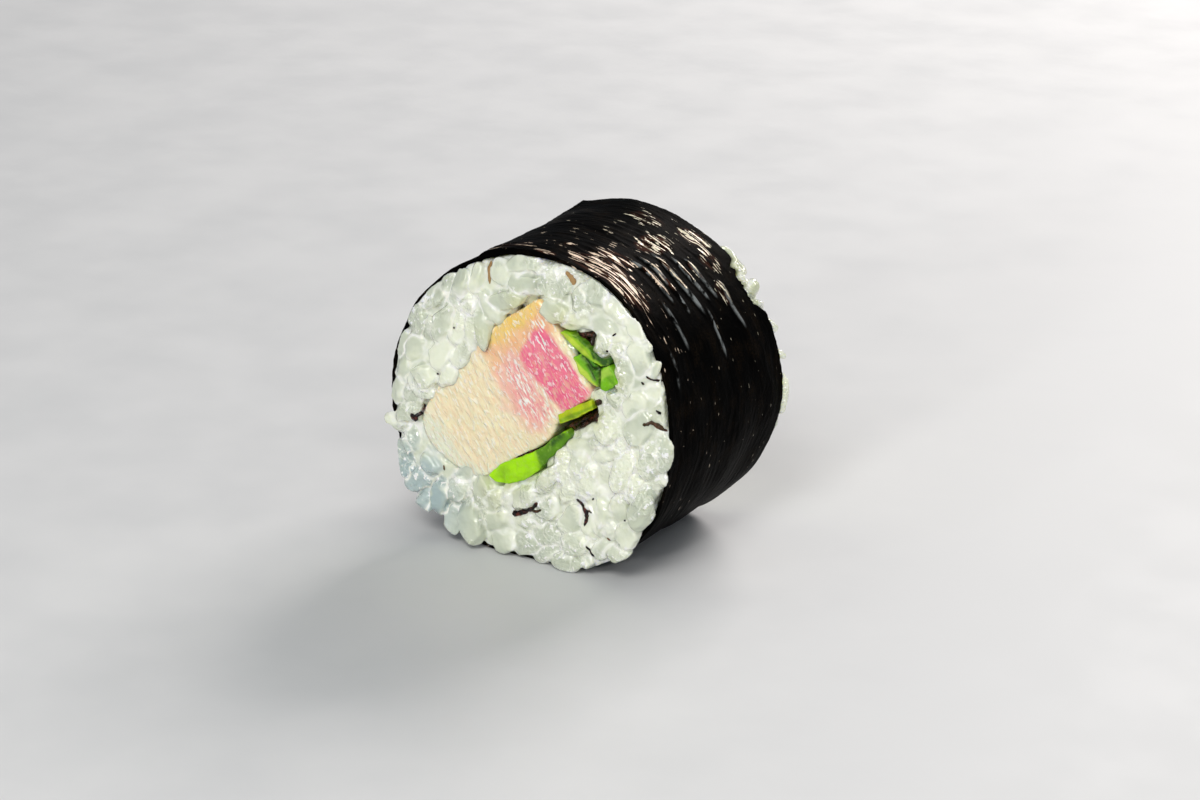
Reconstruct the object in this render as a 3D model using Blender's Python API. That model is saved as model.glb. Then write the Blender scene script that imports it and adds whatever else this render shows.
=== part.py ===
"""One cut piece of a thick maki sushi roll, lying on its side on a flat spot.

A sheet of nori wraps sticky rice, and the rice holds a stick of yellowtail and blades of scallion that
run from cut to cut. Lengths are in millimetres in the roll's own section: u runs across it, w runs up,
and y runs along the roll from the near cut (negative) to the far cut. world() turns them into metres,
with the roll resting on z = 0 and the origin under its middle.
"""
import math
import random

import bpy
from mathutils import Vector, noise

MM = 0.001

# ---------------------------------------------------------------- driving sizes
SHEET_LENGTH = 25.4        # the nori, from its near rim to its far rim
SHEET_THICKNESS = 0.45
AXIS_HEIGHT = 19.4         # section centre above the table: less than the radius, so the roll has a flat
ORIGIN_SHIFT = (-0.35, -0.3)  # moves the section (u, y) so that the origin lies under the middle
CLEARANCE = 0.3            # between neighbouring pieces

# Radius of the nori's outer side every 30 degrees, starting at +u and turning towards +w.
NEAR_RADII = (20.9, 21.7, 21.9, 20.7, 20.2, 20.5, 21.0, 21.3, 20.7, 20.2, 20.7, 21.3)
FAR_RADII = (22.0, 21.4, 21.0, 21.0, 20.6, 20.6, 20.8, 21.0, 20.7, 20.2, 20.6, 21.0)

LAP_ANGLE = math.radians(113)      # where the sheet's outer end stops
LAP_SPREAD = math.radians(50)      # how far back the doubled sheet eases into the single one
LAP_EDGE = math.radians(0.6)       # half the width of the step at the sheet's end
WRINKLE = 0.22                     # height of the sheet's soft waves
WRINKLE_SIZE = 5.0
RIM_WAVE = 0.22                    # how far a rim wanders along the roll

RICE_STAND = 0.75                  # how far the rice between its grains stands out of a rim
EDGE_STAND = 0.1                   # and at its edge, where it stays inside the nori
GRAIN_HALF_LENGTH = 3.6
GRAIN_HALF_WIDTH = 1.8
GRAIN_RELIEF = 1.05
GRAIN_SPACING = 2.9
GRAIN_TRIES = 4000
LIP_LEAST = 0.12                   # the rice's edge beyond its own wall, where it stays inside the nori
LIP_OVER = 0.35                    # and beyond the nori's outer side, where it bulges over the rim
LIP_LUMP = 0.45                    # how far single grains move that bulging edge
LIP_DEPTH = 2.0                    # how far inside the nori the rice's wall takes its full shape
FLOOR_CLEARANCE = 0.25

# Where the rice bulges over the rim: the middle and half-width of the arc.
NEAR_BULGE = (math.radians(303), math.radians(92))
FAR_BULGE = (math.radians(20), math.radians(70))
BULGE_FADE = math.radians(14)
FAR_BULGE_STAND = 0.7              # what the far bulge adds to the rice's length

# One grain sticks out over the near rim: angle, half-width and reach.
STRAY_ANGLE = math.radians(192)
STRAY_HALF_WIDTH = math.radians(6)
STRAY_REACH = 1.5

# ---------------------------------------------------------------- outlines of the fillings (u, w)
HOLE_CENTRE = (-0.5, 1.2)
FISH = (
    (2.3, 15.3), (-0.6, 13.3), (-4.4, 10.3), (-8.6, 6.0), (-12.2, 2.0), (-15.4, -3.0),
    (-14.6, -6.2), (-11.0, -8.5), (-6.8, -9.2), (-2.0, -5.9), (2.0, -3.3), (3.7, -1.7),
    (4.8, 0.6), (8.2, 3.6), (9.4, 4.5), (8.6, 6.4), (7.0, 9.0), (4.2, 12.2),
)
FISH_PROUD = 0.9                   # how far its cut stands out of the rims
FISH_SWELL = 0.25                  # how far the middle of its cut swells
FISH_EDGE = 0.35                   # rounding at its cut's edge
FISH_CUT_RINGS = (0.35, 0.65, 0.85, 0.965)

# Each blade is a ribbon: points of its middle line with its width there, (u, w, width).
BLADES = {
    "scallion_tip": ((5.7, 11.5, 0.35), (7.6, 10.9, 1.0), (9.6, 9.8, 1.0), (11.1, 9.2, 0.9), (12.3, 9.2, 0.6)),
    "scallion_fold": ((8.6, 8.3, 0.9), (9.8, 7.1, 1.8), (11.0, 6.3, 2.0), (12.0, 6.6, 2.2), (13.0, 7.3, 1.2)),
    "scallion_stalk": ((5.7, 0.05, 0.9), (7.1, 1.0, 1.05), (8.5, 2.0, 1.05), (9.9, 3.1, 0.8)),
    "scallion_leaf": (
        (-5.3, -9.6, 0.5), (-3.2, -8.75, 1.8), (-0.6, -7.75, 2.2), (1.6, -6.2, 1.9),
        (3.2, -4.4, 1.3), (5.2, -2.4, 1.2), (6.2, -1.6, 0.7),
    ),
}
BLADE_PROUD = 1.1
BLADE_EDGE = 0.15

# Open pockets beside the blades, only a few millimetres deep.
POCKETS = (
    ((7.6, 11.7), (10.3, 12.2), (9.7, 10.2)),
    ((6.4, -1.4), (9.7, 1.9), (10.5, 0.4), (8.3, -1.2)),
)
POCKET_DEPTH = 3.0

# ---------------------------------------------------------------- fineness
SHEET_STEPS = 92
SHEET_ROWS = 7
RICE_STEPS = 104
RICE_RINGS = 8
HOLE_MARGIN_STEPS = 1              # the hole takes the widest of its neighbours this far to each side
HOLE_OVERSAMPLING = 4

NEAR_Y = -SHEET_LENGTH / 2
FAR_Y = SHEET_LENGTH / 2
FLOOR_W = -AXIS_HEIGHT


def world(u, y, w):
    """A point of the section, in millimetres, as a place in the scene, in metres."""
    return Vector((u + ORIGIN_SHIFT[0], y + ORIGIN_SHIFT[1], w + AXIS_HEIGHT)) * MM


def clear_scene():
    for old in list(bpy.data.objects):
        bpy.data.objects.remove(old)


def smooth_step(t):
    t = min(1.0, max(0.0, t))
    return t * t * (3 - 2 * t)


def turn_between(a, b):
    """The turn from angle a to angle b, from -pi to pi."""
    return math.remainder(b - a, math.tau)


def inside_arc(angle, arc, fade):
    """1 well inside an arc (middle, half-width), 0 outside, and a soft change over fade."""
    middle, half_width = arc
    return smooth_step((half_width - abs(turn_between(middle, angle))) / fade + 0.5)


def cubic(p0, p1, p2, p3, t):
    """Catmull-Rom between p1 and p2. It works on numbers and on vectors."""
    return 0.5 * (2 * p1 + (p2 - p0) * t + (2 * p0 - 5 * p1 + 4 * p2 - p3) * t * t
                  + (3 * p1 - p0 - 3 * p2 + p3) * t ** 3)


def radius_from(radii, angle):
    """The radius at any angle, on a smooth closed curve through evenly spaced radii."""
    count = len(radii)
    place = (angle % math.tau) / math.tau * count
    i = int(place)
    around = [radii[(i + k) % count] for k in (-1, 0, 1, 2)]
    return cubic(*around, place - i)


# ---------------------------------------------------------------- meshes from rings
def band_faces(first, second, count):
    """Quads between two closed rings of count vertices that start at these indices."""
    return [(first + i, second + i, second + (i + 1) % count, first + (i + 1) % count)
            for i in range(count)]


def finish_object(name, vertices, faces, material, sharp_degrees):
    mesh = bpy.data.meshes.new(name)
    mesh.from_pydata(vertices, [], faces)
    mesh.validate()
    mesh.shade_smooth()
    mesh.set_sharp_from_angle(angle=math.radians(sharp_degrees))
    made = bpy.data.objects.new(name, mesh)
    made.data.materials.append(material)
    bpy.context.scene.collection.objects.link(made)
    return made


def looped_object(name, rings, material, sharp_degrees):
    """A closed ring-shaped solid: each ring joins the next, and the last joins the first."""
    count = len(rings[0])
    vertices = [point for ring in rings for point in ring]
    faces = []
    for k in range(len(rings)):
        faces += band_faces(k * count, (k + 1) % len(rings) * count, count)
    return finish_object(name, vertices, faces, material, sharp_degrees)


def capped_object(name, rings, material, sharp_degrees):
    """A closed bar: bands between the rings, and a flat face inside the first ring and the last."""
    count = len(rings[0])
    vertices = [point for ring in rings for point in ring]
    faces = [range(count)]
    for k in range(len(rings) - 1):
        faces += band_faces(k * count, (k + 1) * count, count)
    faces.append(range(len(vertices) - 1, len(vertices) - 1 - count, -1))
    return finish_object(name, vertices, faces, material, sharp_degrees)


def make_material(name, colour, roughness, subsurface=0.0):
    material = bpy.data.materials.new(name)
    material.use_nodes = True
    shader = material.node_tree.nodes["Principled BSDF"]
    shader.inputs["Base Color"].default_value = (*colour, 1.0)
    shader.inputs["Roughness"].default_value = roughness
    shader.inputs["Subsurface Weight"].default_value = subsurface
    shader.inputs["Subsurface Scale"].default_value = MM
    material.diffuse_color = (*colour, 1.0)
    return material


# ---------------------------------------------------------------- nori
def sheet_radius(angle, y):
    """The nori's outer side before the table flattens it."""
    along = smooth_step((y - NEAR_Y) / SHEET_LENGTH)
    near = radius_from(NEAR_RADII, angle)
    far = radius_from(FAR_RADII, angle)
    spot = Vector((math.cos(angle) * near, y, math.sin(angle) * near)) / WRINKLE_SIZE
    return near + (far - near) * along + WRINKLE * noise.noise(spot)


def lap_thickness(angle):
    """What the doubled sheet adds: it ends in a step at LAP_ANGLE and eases in behind it."""
    past = turn_between(LAP_ANGLE, angle)
    if past > 0:
        return SHEET_THICKNESS * (1 - smooth_step(past / LAP_EDGE))
    return SHEET_THICKNESS * (1 - smooth_step(-past / LAP_SPREAD))


def rim_shift(angle, seed):
    """How far a rim wanders along the roll at this angle."""
    return RIM_WAVE * noise.noise(Vector((2.2 * math.cos(angle), 2.2 * math.sin(angle), seed)))


def near_rim(angle):
    return NEAR_Y + rim_shift(angle, 3.7)


def far_rim(angle):
    return FAR_Y + rim_shift(angle, 9.1)


def sheet_point(angle, share, depth):
    """A point of the nori: share 0 is the near rim and 1 the far one, and depth is below the outer side."""
    y = near_rim(angle) + (far_rim(angle) - near_rim(angle)) * share
    radius = sheet_radius(angle, y) - depth
    if depth == 0:
        radius += lap_thickness(angle)
    w = max(math.sin(angle) * radius, FLOOR_W + depth)
    return world(math.cos(angle) * radius, y, w)


def make_nori(material):
    angles = [math.tau * i / SHEET_STEPS for i in range(SHEET_STEPS)]
    angles += [LAP_ANGLE - LAP_EDGE, LAP_ANGLE + LAP_EDGE]
    angles.sort()
    outer = [[sheet_point(a, row / SHEET_ROWS, 0) for a in angles] for row in range(SHEET_ROWS + 1)]
    inner = [[sheet_point(a, share, SHEET_THICKNESS) for a in angles] for share in (1, 0.67, 0.33, 0)]
    return looped_object("nori", outer + inner, material, 50)


# ---------------------------------------------------------------- fillings
def closed_curve(points, per_span):
    """A smooth closed curve through the points."""
    count = len(points)
    corners = [Vector(p) for p in points]
    return [cubic(*(corners[(i + k) % count] for k in (-1, 0, 1, 2)), step / per_span)
            for i in range(count) for step in range(per_span)]


def ribbon_outline(middle_line, inset):
    """The smooth outline of a ribbon with round ends, inset from its full width."""
    points = [Vector(p[:2]) for p in middle_line]
    half_widths = [p[2] / 2 - inset for p in middle_line]
    left, right = [], []
    for i, (point, half_width) in enumerate(zip(points, half_widths)):
        ahead = points[min(i + 1, len(points) - 1)] - points[max(i - 1, 0)]
        side = Vector((-ahead.y, ahead.x)).normalized() * half_width
        left.append(point + side)
        right.append(point - side)
    start = points[0] - (points[1] - points[0]).normalized() * half_widths[0]
    end = points[-1] + (points[-1] - points[-2]).normalized() * half_widths[-1]
    return closed_curve([start] + right + [end] + left[::-1], 2)


def make_bar(name, near_rings, material):
    """A filling that runs from cut to cut. Its rings, (outline, y), are given up to the middle."""
    far_rings = [(outline, -y) for outline, y in near_rings[::-1]]
    rings = [[world(point.x, y, point.y) for point in outline] for outline, y in near_rings + far_rings]
    return capped_object(name, rings, material, 40)


def make_fish(outline, material):
    """The stick of fish: rounded at its cut's edge, with a slightly swollen cut."""
    middle = sum(outline, Vector((0, 0))) / len(outline)
    length = SHEET_LENGTH / 2 + FISH_PROUD

    def scaled(share):
        return [middle + (point - middle) * share for point in outline]

    rings = [(scaled(share), -length - FISH_SWELL * (1 - share * share)) for share in FISH_CUT_RINGS]
    return make_bar("fish", rings + [(outline, FISH_EDGE - length)], material)


def make_blade(name, middle_line, material):
    length = SHEET_LENGTH / 2 + BLADE_PROUD
    cut = (ribbon_outline(middle_line, BLADE_EDGE), -length)
    side = (ribbon_outline(middle_line, 0), BLADE_EDGE - length)
    return make_bar(name, [cut, side], material)


# ---------------------------------------------------------------- rice
def ray_reach(outline, angle):
    """How far from HOLE_CENTRE a ray at this angle last meets the outline, or 0."""
    centre = Vector(HOLE_CENTRE)
    ray = Vector((math.cos(angle), math.sin(angle)))
    reach = 0.0
    for i, a in enumerate(outline):
        b = outline[(i + 1) % len(outline)]
        edge = Vector(b) - Vector(a)
        across = ray.x * edge.y - ray.y * edge.x
        if abs(across) < 1e-9:
            continue
        start = Vector(a) - centre
        share = (start.x * ray.y - start.y * ray.x) / across
        distance = (start.x * edge.y - start.y * edge.x) / across
        if 0 <= share <= 1:
            reach = max(reach, distance)
    return reach


def hole_radii(outlines):
    """The hole's radius at each of the rice's steps: clear of every outline, also between two steps."""
    fine = RICE_STEPS * HOLE_OVERSAMPLING
    reach = [max(ray_reach(o, math.tau * i / fine) for o in outlines) for i in range(fine)]
    span = HOLE_MARGIN_STEPS * HOLE_OVERSAMPLING
    return [max(reach[(i * HOLE_OVERSAMPLING + k) % fine] for k in range(-span, span + 1)) + CLEARANCE
            for i in range(RICE_STEPS)]


def scatter_grains(seed):
    """Lying grains over a cut: (u, w, direction, height), kept apart but no two alike."""
    chance = random.Random(seed)
    largest = max(NEAR_RADII + FAR_RADII)
    grains = []
    for _ in range(GRAIN_TRIES):
        u, w = chance.uniform(-largest, largest), chance.uniform(-largest, largest)
        if all(math.hypot(u - g[0], w - g[1]) > GRAIN_SPACING for g in grains):
            grains.append((u, w, chance.uniform(0, math.pi), chance.uniform(0.6, 1.0)))
    return grains


def grain_relief(grains, u, w):
    """Height of the grains over the rice between them."""
    height = 0.0
    for gu, gw, direction, rise in grains:
        du, dw = u - gu, w - gw
        along = (du * math.cos(direction) + dw * math.sin(direction)) / GRAIN_HALF_LENGTH
        across = (dw * math.cos(direction) - du * math.sin(direction)) / GRAIN_HALF_WIDTH
        height = max(height, rise * max(0.0, 1 - along * along - across * across) ** 1.5)
    return GRAIN_RELIEF * height


class RiceEnd:
    """One cut end of the rice. side is -1 at the near cut and 1 at the far cut."""

    def __init__(self, side, rim, bulge, extra_stand, seed):
        self.side, self.rim, self.bulge, self.extra_stand = side, rim, bulge, extra_stand
        self.grains = scatter_grains(seed)

    def sheet_outside(self, angle):
        return sheet_radius(angle, self.rim(angle))

    def wall_radius(self, angle):
        return self.sheet_outside(angle) - SHEET_THICKNESS - CLEARANCE

    def over_rim(self, angle):
        """1 where the edge lies in front of the rim, 0 where it lies inside the nori.

        The edge comes out of the nori before it spreads over the rim, so these arcs are the wider ones.
        """
        middle, half_width = self.bulge
        share = inside_arc(angle, (middle, half_width + BULGE_FADE), BULGE_FADE)
        if self.side < 0:
            share = max(share, inside_arc(angle, (STRAY_ANGLE, 2 * STRAY_HALF_WIDTH), STRAY_HALF_WIDTH))
        return share

    def edge_radius(self, angle):
        """The rice's outline beyond the rim: inside the nori, or bulging over it."""
        inside = self.wall_radius(angle) + LIP_LEAST
        over = self.sheet_outside(angle) + LIP_OVER
        over += LIP_LUMP * noise.noise(Vector((7 * math.cos(angle), 7 * math.sin(angle), self.side)))
        radius = inside + (over - inside) * inside_arc(angle, self.bulge, BULGE_FADE)
        if self.side < 0:
            stray = abs(turn_between(STRAY_ANGLE, angle)) / STRAY_HALF_WIDTH
            radius += STRAY_REACH * (1 - smooth_step(stray) ** 2)
        return radius

    def place_y(self, angle, stand):
        """The place along the roll that stands this far out of the rim."""
        return self.rim(angle) + self.side * stand

    def face_y(self, u, w, angle):
        """Where the rice's cut surface lies along the roll."""
        bulging = inside_arc(angle, self.bulge, BULGE_FADE)
        return self.place_y(angle, RICE_STAND + grain_relief(self.grains, u, w) + self.extra_stand * bulging)

    def face_rings(self, hole):
        """Rings over the cut from the hole to the outline, then the lip and the start of the wall."""
        rings = [[] for _ in range(RICE_RINGS + 4)]
        for i, hole_radius in enumerate(hole):
            angle = math.tau * i / RICE_STEPS
            inner = (HOLE_CENTRE[0] + math.cos(angle) * hole_radius,
                     HOLE_CENTRE[1] + math.sin(angle) * hole_radius)
            section_angle = math.atan2(inner[1], inner[0])
            # The outline is met along the same ray, so that the rings never cross.
            edge_angle = self.matched_angle(angle, section_angle)
            out = self.over_rim(edge_angle)
            lowest = self.lowest(edge_angle)
            radius = self.edge_radius(edge_angle)
            outer = (math.cos(edge_angle) * radius, math.sin(edge_angle) * radius)
            for k in range(RICE_RINGS + 1):
                share = k / RICE_RINGS
                u = inner[0] + (outer[0] - inner[0]) * share
                w = max(inner[1] + (outer[1] - inner[1]) * share, lowest)
                y = self.face_y(u, w, edge_angle)
                if k == RICE_RINGS:
                    y = self.place_y(edge_angle, EDGE_STAND + (RICE_STAND - EDGE_STAND) * out)
                rings[k].append(world(u, y, w))
            wall = self.wall_radius(edge_angle)
            wall_u, wall_w = math.cos(edge_angle) * wall, math.sin(edge_angle) * wall
            back = self.place_y(edge_angle, CLEARANCE * (2 * out - 1))
            wall_w = max(wall_w, FLOOR_W + SHEET_THICKNESS + CLEARANCE)
            rings[-3].append(world(outer[0], back, max(outer[1], lowest)))
            rings[-2].append(world(wall_u, back, wall_w))
            rings[-1].append(world(wall_u, self.place_y(edge_angle, -LIP_DEPTH), wall_w))
        return rings

    def matched_angle(self, hole_angle, section_angle):
        """The section's angle at which a ray from the hole's centre meets the roll's mean outline."""
        mean = sum(NEAR_RADII) / len(NEAR_RADII)
        cu, cw = HOLE_CENTRE
        du, dw = math.cos(hole_angle), math.sin(hole_angle)
        along = cu * du + cw * dw
        reach = -along + math.sqrt(along * along + mean * mean - cu * cu - cw * cw)
        return math.atan2(cw + dw * reach, cu + du * reach)

    def lowest(self, angle):
        """The lowest that the edge may reach: over the nori's flat, or over the table in front of it."""
        inside = FLOOR_W + SHEET_THICKNESS + CLEARANCE - LIP_LEAST
        return inside + (FLOOR_W + FLOOR_CLEARANCE - inside) * inside_arc(angle, self.bulge, BULGE_FADE)


def hole_ring(hole, y):
    ring = []
    for i, radius in enumerate(hole):
        angle = math.tau * i / RICE_STEPS
        ring.append(world(HOLE_CENTRE[0] + math.cos(angle) * radius, y,
                          HOLE_CENTRE[1] + math.sin(angle) * radius))
    return ring


def make_rice(fillings, material):
    with_pockets = hole_radii(fillings + [list(map(Vector, p)) for p in POCKETS])
    plain = hole_radii(fillings)
    near = RiceEnd(-1, near_rim, NEAR_BULGE, 0.0, seed=11)
    far = RiceEnd(1, far_rim, FAR_BULGE, FAR_BULGE_STAND, seed=12)
    deep = SHEET_LENGTH / 2 - POCKET_DEPTH
    bore = [hole_ring(with_pockets, deep), hole_ring(plain, deep - POCKET_DEPTH),
            hole_ring(plain, POCKET_DEPTH - deep), hole_ring(with_pockets, -deep)]
    rings = bore + near.face_rings(with_pockets) + far.face_rings(with_pockets)[::-1]
    return looped_object("rice", rings, material, 60)


# ---------------------------------------------------------------- the roll
def main():
    clear_scene()
    nori_black = make_material("nori", (0.012, 0.013, 0.010), 0.38)
    rice_white = make_material("rice", (0.80, 0.83, 0.76), 0.35, 0.3)
    fish_pink = make_material("fish", (0.87, 0.62, 0.46), 0.32, 0.2)
    leaf_green = make_material("scallion", (0.22, 0.50, 0.03), 0.35, 0.1)

    make_nori(nori_black)
    outlines = [closed_curve(FISH, 3)]
    make_fish(outlines[0], fish_pink)
    for name, middle_line in BLADES.items():
        make_blade(name, middle_line, leaf_green)
        outlines.append(ribbon_outline(middle_line, 0))
    make_rice(outlines, rice_white)


main()
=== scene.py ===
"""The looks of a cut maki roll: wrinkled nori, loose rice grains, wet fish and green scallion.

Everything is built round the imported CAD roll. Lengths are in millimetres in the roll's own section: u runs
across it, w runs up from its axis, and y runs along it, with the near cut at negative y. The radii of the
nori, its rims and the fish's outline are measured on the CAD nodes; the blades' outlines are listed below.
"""
import math
import random

import bmesh
import bpy
import numpy as np
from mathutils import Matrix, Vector, kdtree, noise
from mathutils.bvhtree import BVHTree


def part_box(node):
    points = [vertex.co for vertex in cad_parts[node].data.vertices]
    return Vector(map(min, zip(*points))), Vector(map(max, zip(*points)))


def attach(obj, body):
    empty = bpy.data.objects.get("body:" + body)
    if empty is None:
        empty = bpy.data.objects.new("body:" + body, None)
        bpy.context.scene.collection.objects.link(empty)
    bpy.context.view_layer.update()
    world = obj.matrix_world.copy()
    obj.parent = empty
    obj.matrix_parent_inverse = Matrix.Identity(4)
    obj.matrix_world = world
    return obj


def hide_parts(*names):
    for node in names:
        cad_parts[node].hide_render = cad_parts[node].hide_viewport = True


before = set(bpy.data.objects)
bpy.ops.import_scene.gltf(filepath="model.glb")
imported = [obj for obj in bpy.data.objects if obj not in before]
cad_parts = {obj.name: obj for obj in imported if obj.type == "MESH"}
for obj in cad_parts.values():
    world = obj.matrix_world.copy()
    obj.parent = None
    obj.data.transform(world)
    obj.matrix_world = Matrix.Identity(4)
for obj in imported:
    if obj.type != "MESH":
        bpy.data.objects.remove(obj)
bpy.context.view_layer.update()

MM = 0.001
AXIS_U, AXIS_W = -0.35, 19.4         # the section's centre: beside the origin, and above the table

# ---------------------------------------------------------------- sizes
NORI_THICKNESS = 0.45
LAP_ANGLE = math.radians(113)        # where the sheet's outer end stops
LAP_SPREAD = math.radians(50)
LAP_LIFT = 0.5                       # how far that end curls up at the far rim
NORI_STEPS = 460
NORI_ROWS = 190
RIM_ROWS = 3

GRAIN_LENGTH = (5.2, 6.4)
GRAIN_WIDTH = (2.3, 2.9)
GRAIN_FLATNESS = 0.86                # thickness over width
GRAIN_FLATS = 5                      # places where its neighbours have pressed it flat
FLAT_DISTANCE = (0.58, 0.85)         # how far these lie from its middle, as shares of its half size
GRAIN_GRID = 9                       # faces along an edge of the cube that a grain is blown up from
LAYER_COUNTS = (96, 84)              # grains in the outer layer of a cut, and in the one behind it
LAYER_DEPTHS = (-0.25, 0.7)          # how far their middles lie inside the rim
CUT_STAND = 1.2                      # how far the knife left the rice standing out of the rim
BASE_STAND = 0.7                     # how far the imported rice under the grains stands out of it
EDGE_SINK = 1.1                      # how much lower it lies along a rim that it doesn't spread over
RICE_DEPTH = 4.5                     # thickness of the modelled layer of rice at a cut
RICE_VOXELS = (0.16, 0.2)           # mesh size of that layer at the near and the far cut
THINNING = 0.06                      # share of the faces that is kept out of sight
RICE_SMOOTHING = 1
# Where the rice spreads over the rim: middle, half width and fade in degrees. The second is one stray grain.
NEAR_BULGES = ((303, 92, 16), (192, 4, 3))
FAR_BULGES = ((18, 36, 16),)
FAR_NOTCH = (38, 9, 7, 1.7)          # where the nori is torn back at the far cut: the same, and the depth


NEAR_RIM = -13.0                     # where the near rim of the nori lies along the roll
CRUMB_DEPTH = 0.4                    # how far behind it a crumb may lie, over a hollow

# Grains of the near cut: (u, w, direction in degrees, length, width, stand of the middle).
NEAR_GRAINS = (
    (-13.1, 12.9, 42, 5.0, 2.0, 0.35), (-16.3, 9.4, 62, 4.8, 3.2, 0.1), (-18.8, 5.6, 68, 4.2, 2.8, 0.0),
    (-18.6, 2.6, 80, 4.2, 3.2, 0.1), (-19.2, -0.6, 85, 4.4, 2.6, 0.1), (-9.6, 15.2, 68, 5.4, 2.6, 0.25),
    (-7.2, 16.3, 72, 4.4, 2.6, 0.35), (-7.6, 12.4, 8, 4.6, 2.6, 0.2), (-5.9, 10.2, -80, 6.2, 2.3, 0.8),
    (-3.5, 17.7, 80, 3.8, 3.2, 0.2), (-2.4, 14.6, 14, 6.2, 2.2, 0.5), (0.3, 17.0, 18, 5.4, 2.8, 0.3),
    (-12.2, 9.7, 68, 6.0, 2.8, 0.35), (-14.2, 8.2, 75, 4.8, 2.4, 0.2), (-10.0, 9.3, 80, 5.0, 2.6, 0.2),
    (-12.6, 5.6, 50, 5.2, 3.4, 0.45), (-16.6, 5.8, 60, 4.6, 2.8, 0.2), (-14.9, 2.3, 30, 5.0, 3.2, 0.5),
    (-9.3, 6.2, 55, 4.6, 2.6, 0.3), (-17.2, -0.2, 30, 4.4, 2.6, 0.35), (-11.6, 2.9, 40, 4.4, 2.4, 0.45),
    (-19.4, -4.5, -4, 4.5, 2.0, 0.7), (-18.0, -3.4, 10, 4.6, 2.8, 0.4), (-18.9, -9.6, 84, 5.8, 3.0, 0.5),
    (-17.4, -6.5, 80, 4.2, 2.6, 0.3), (-14.4, -9.4, 0, 3.5, 3.3, 0.6), (-16.6, -12.2, 40, 5.0, 3.0, 0.3),
    (-15.6, -14.8, 60, 4.4, 3.0, 0.5), (-13.2, -13.9, 75, 5.0, 2.8, 0.5), (-10.8, -16.3, 70, 4.4, 3.4, 0.4),
    (-7.8, -15.9, -68, 6.2, 3.4, 0.6), (-10.5, -12.3, 55, 4.6, 2.8, 0.35), (-12.3, -7.0, 60, 4.8, 2.6, -0.4),
    (-14.6, -4.6, 40, 4.6, 2.6, -0.4), (-6.6, -11.4, 75, 5.0, 2.8, 0.4), (-9.3, -9.8, 50, 4.2, 2.4, 0.2),
    (-3.9, -14.9, 20, 5.2, 2.8, 0.35), (-3.2, -17.6, 12, 4.8, 3.0, 0.3), (-4.6, -12.4, 40, 4.4, 2.6, 0.3),
    (-0.4, -10.9, 32, 5.0, 3.0, 0.4), (0.3, -17.0, 15, 5.0, 3.0, 0.3), (-1.0, -14.3, 8, 5.6, 2.4, 0.1),
    (3.6, -7.6, 55, 6.0, 2.5, 0.1), (3.2, -11.9, 40, 5.2, 3.0, 0.3), (6.0, -9.6, 62, 5.6, 2.6, 0.3),
    (9.2, -7.0, 75, 5.8, 2.9, 0.35), (8.9, -2.4, 14, 6.2, 2.4, 0.35), (12.4, 0.6, 84, 4.8, 3.6, 0.6),
    (16.6, 1.4, 70, 5.2, 3.6, 0.35), (17.8, -2.6, 80, 5.0, 3.2, 0.3), (14.4, -4.6, 72, 6.2, 3.0, 0.5),
    (11.8, -5.2, 60, 4.6, 2.6, 0.25), (17.4, -8.9, 66, 6.0, 3.2, 0.25), (14.0, -9.3, 78, 6.0, 2.8, 0.45),
    (11.6, -11.0, 80, 6.0, 2.8, 0.4), (15.0, -12.6, 55, 5.2, 3.2, 0.3), (11.2, -15.4, 40, 4.6, 2.8, 0.3),
    (6.9, -12.3, 50, 5.2, 3.4, 0.35), (7.4, -15.6, 12, 5.4, 2.8, 0.3), (6.2, -18.3, 10, 5.8, 2.7, 0.4),
    (3.4, -15.4, 20, 5.0, 2.8, 0.3), (16.6, 10.4, -62, 4.8, 3.2, 0.5), (15.9, 14.2, -56, 4.6, 2.8, 0.1),
    (18.2, 6.4, -15, 4.2, 3.0, 0.3), (13.4, 4.1, -35, 3.8, 2.0, 0.7), (14.3, 8.0, 80, 5.2, 3.0, 0.2),
    (11.4, 13.6, -8, 4.6, 2.4, 0.5), (11.3, 11.2, 60, 3.6, 2.7, 0.6), (4.3, 14.3, -8, 5.4, 3.0, 0.5),
    (10.4, 17.6, -35, 4.2, 3.2, 0.3), (5.4, 17.2, 55, 4.6, 2.8, 0.35), (13.3, 15.9, -45, 4.8, 2.8, 0.1),
    (7.6, 13.6, 12, 5.6, 2.4, 0.1), (8.2, 16.2, 70, 4.6, 2.4, 0.15), (2.8, 19.0, 5, 4.6, 2.2, 0.0),
    (16.0, 4.3, 40, 4.4, 2.8, 0.2), (13.4, 11.6, 30, 3.6, 2.6, 0.2), (13.9, -15.4, 20, 4.4, 2.6, 0.2),
)

# Outlines of the scallion's blades, (u, w).
BLADES = {
    "scallion_tip": ((5.4, 11.8), (6.2, 12.0), (7.6, 11.8), (9.1, 11.1), (10.1, 10.1), (11.3, 9.4), (12.7, 9.8),
                     (12.8, 8.9), (11.4, 8.5), (9.6, 9.0), (7.9, 10.0), (6.4, 11.0)),
    "scallion_fold": ((7.4, 8.9), (8.5, 9.5), (9.8, 9.2), (11.1, 8.1), (12.6, 8.8), (13.5, 7.7), (13.9, 6.8),
                      (12.9, 6.0), (12.0, 5.3), (10.9, 5.7), (8.4, 6.9)),
    "scallion_stalk": ((5.1, 1.0), (5.5, -0.1), (7.9, 1.2), (10.3, 2.8), (10.0, 3.9), (7.8, 2.8)),
    "scallion_leaf": ((-5.4, -9.0), (-3.5, -7.1), (0.6, -5.0), (2.9, -3.6), (4.6, -1.9), (6.4, -0.7), (6.8, -1.4),
                      (5.4, -3.5), (3.4, -5.3), (2.4, -6.7), (0.0, -8.6), (-2.4, -9.6), (-4.2, -9.7)),
}
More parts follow.
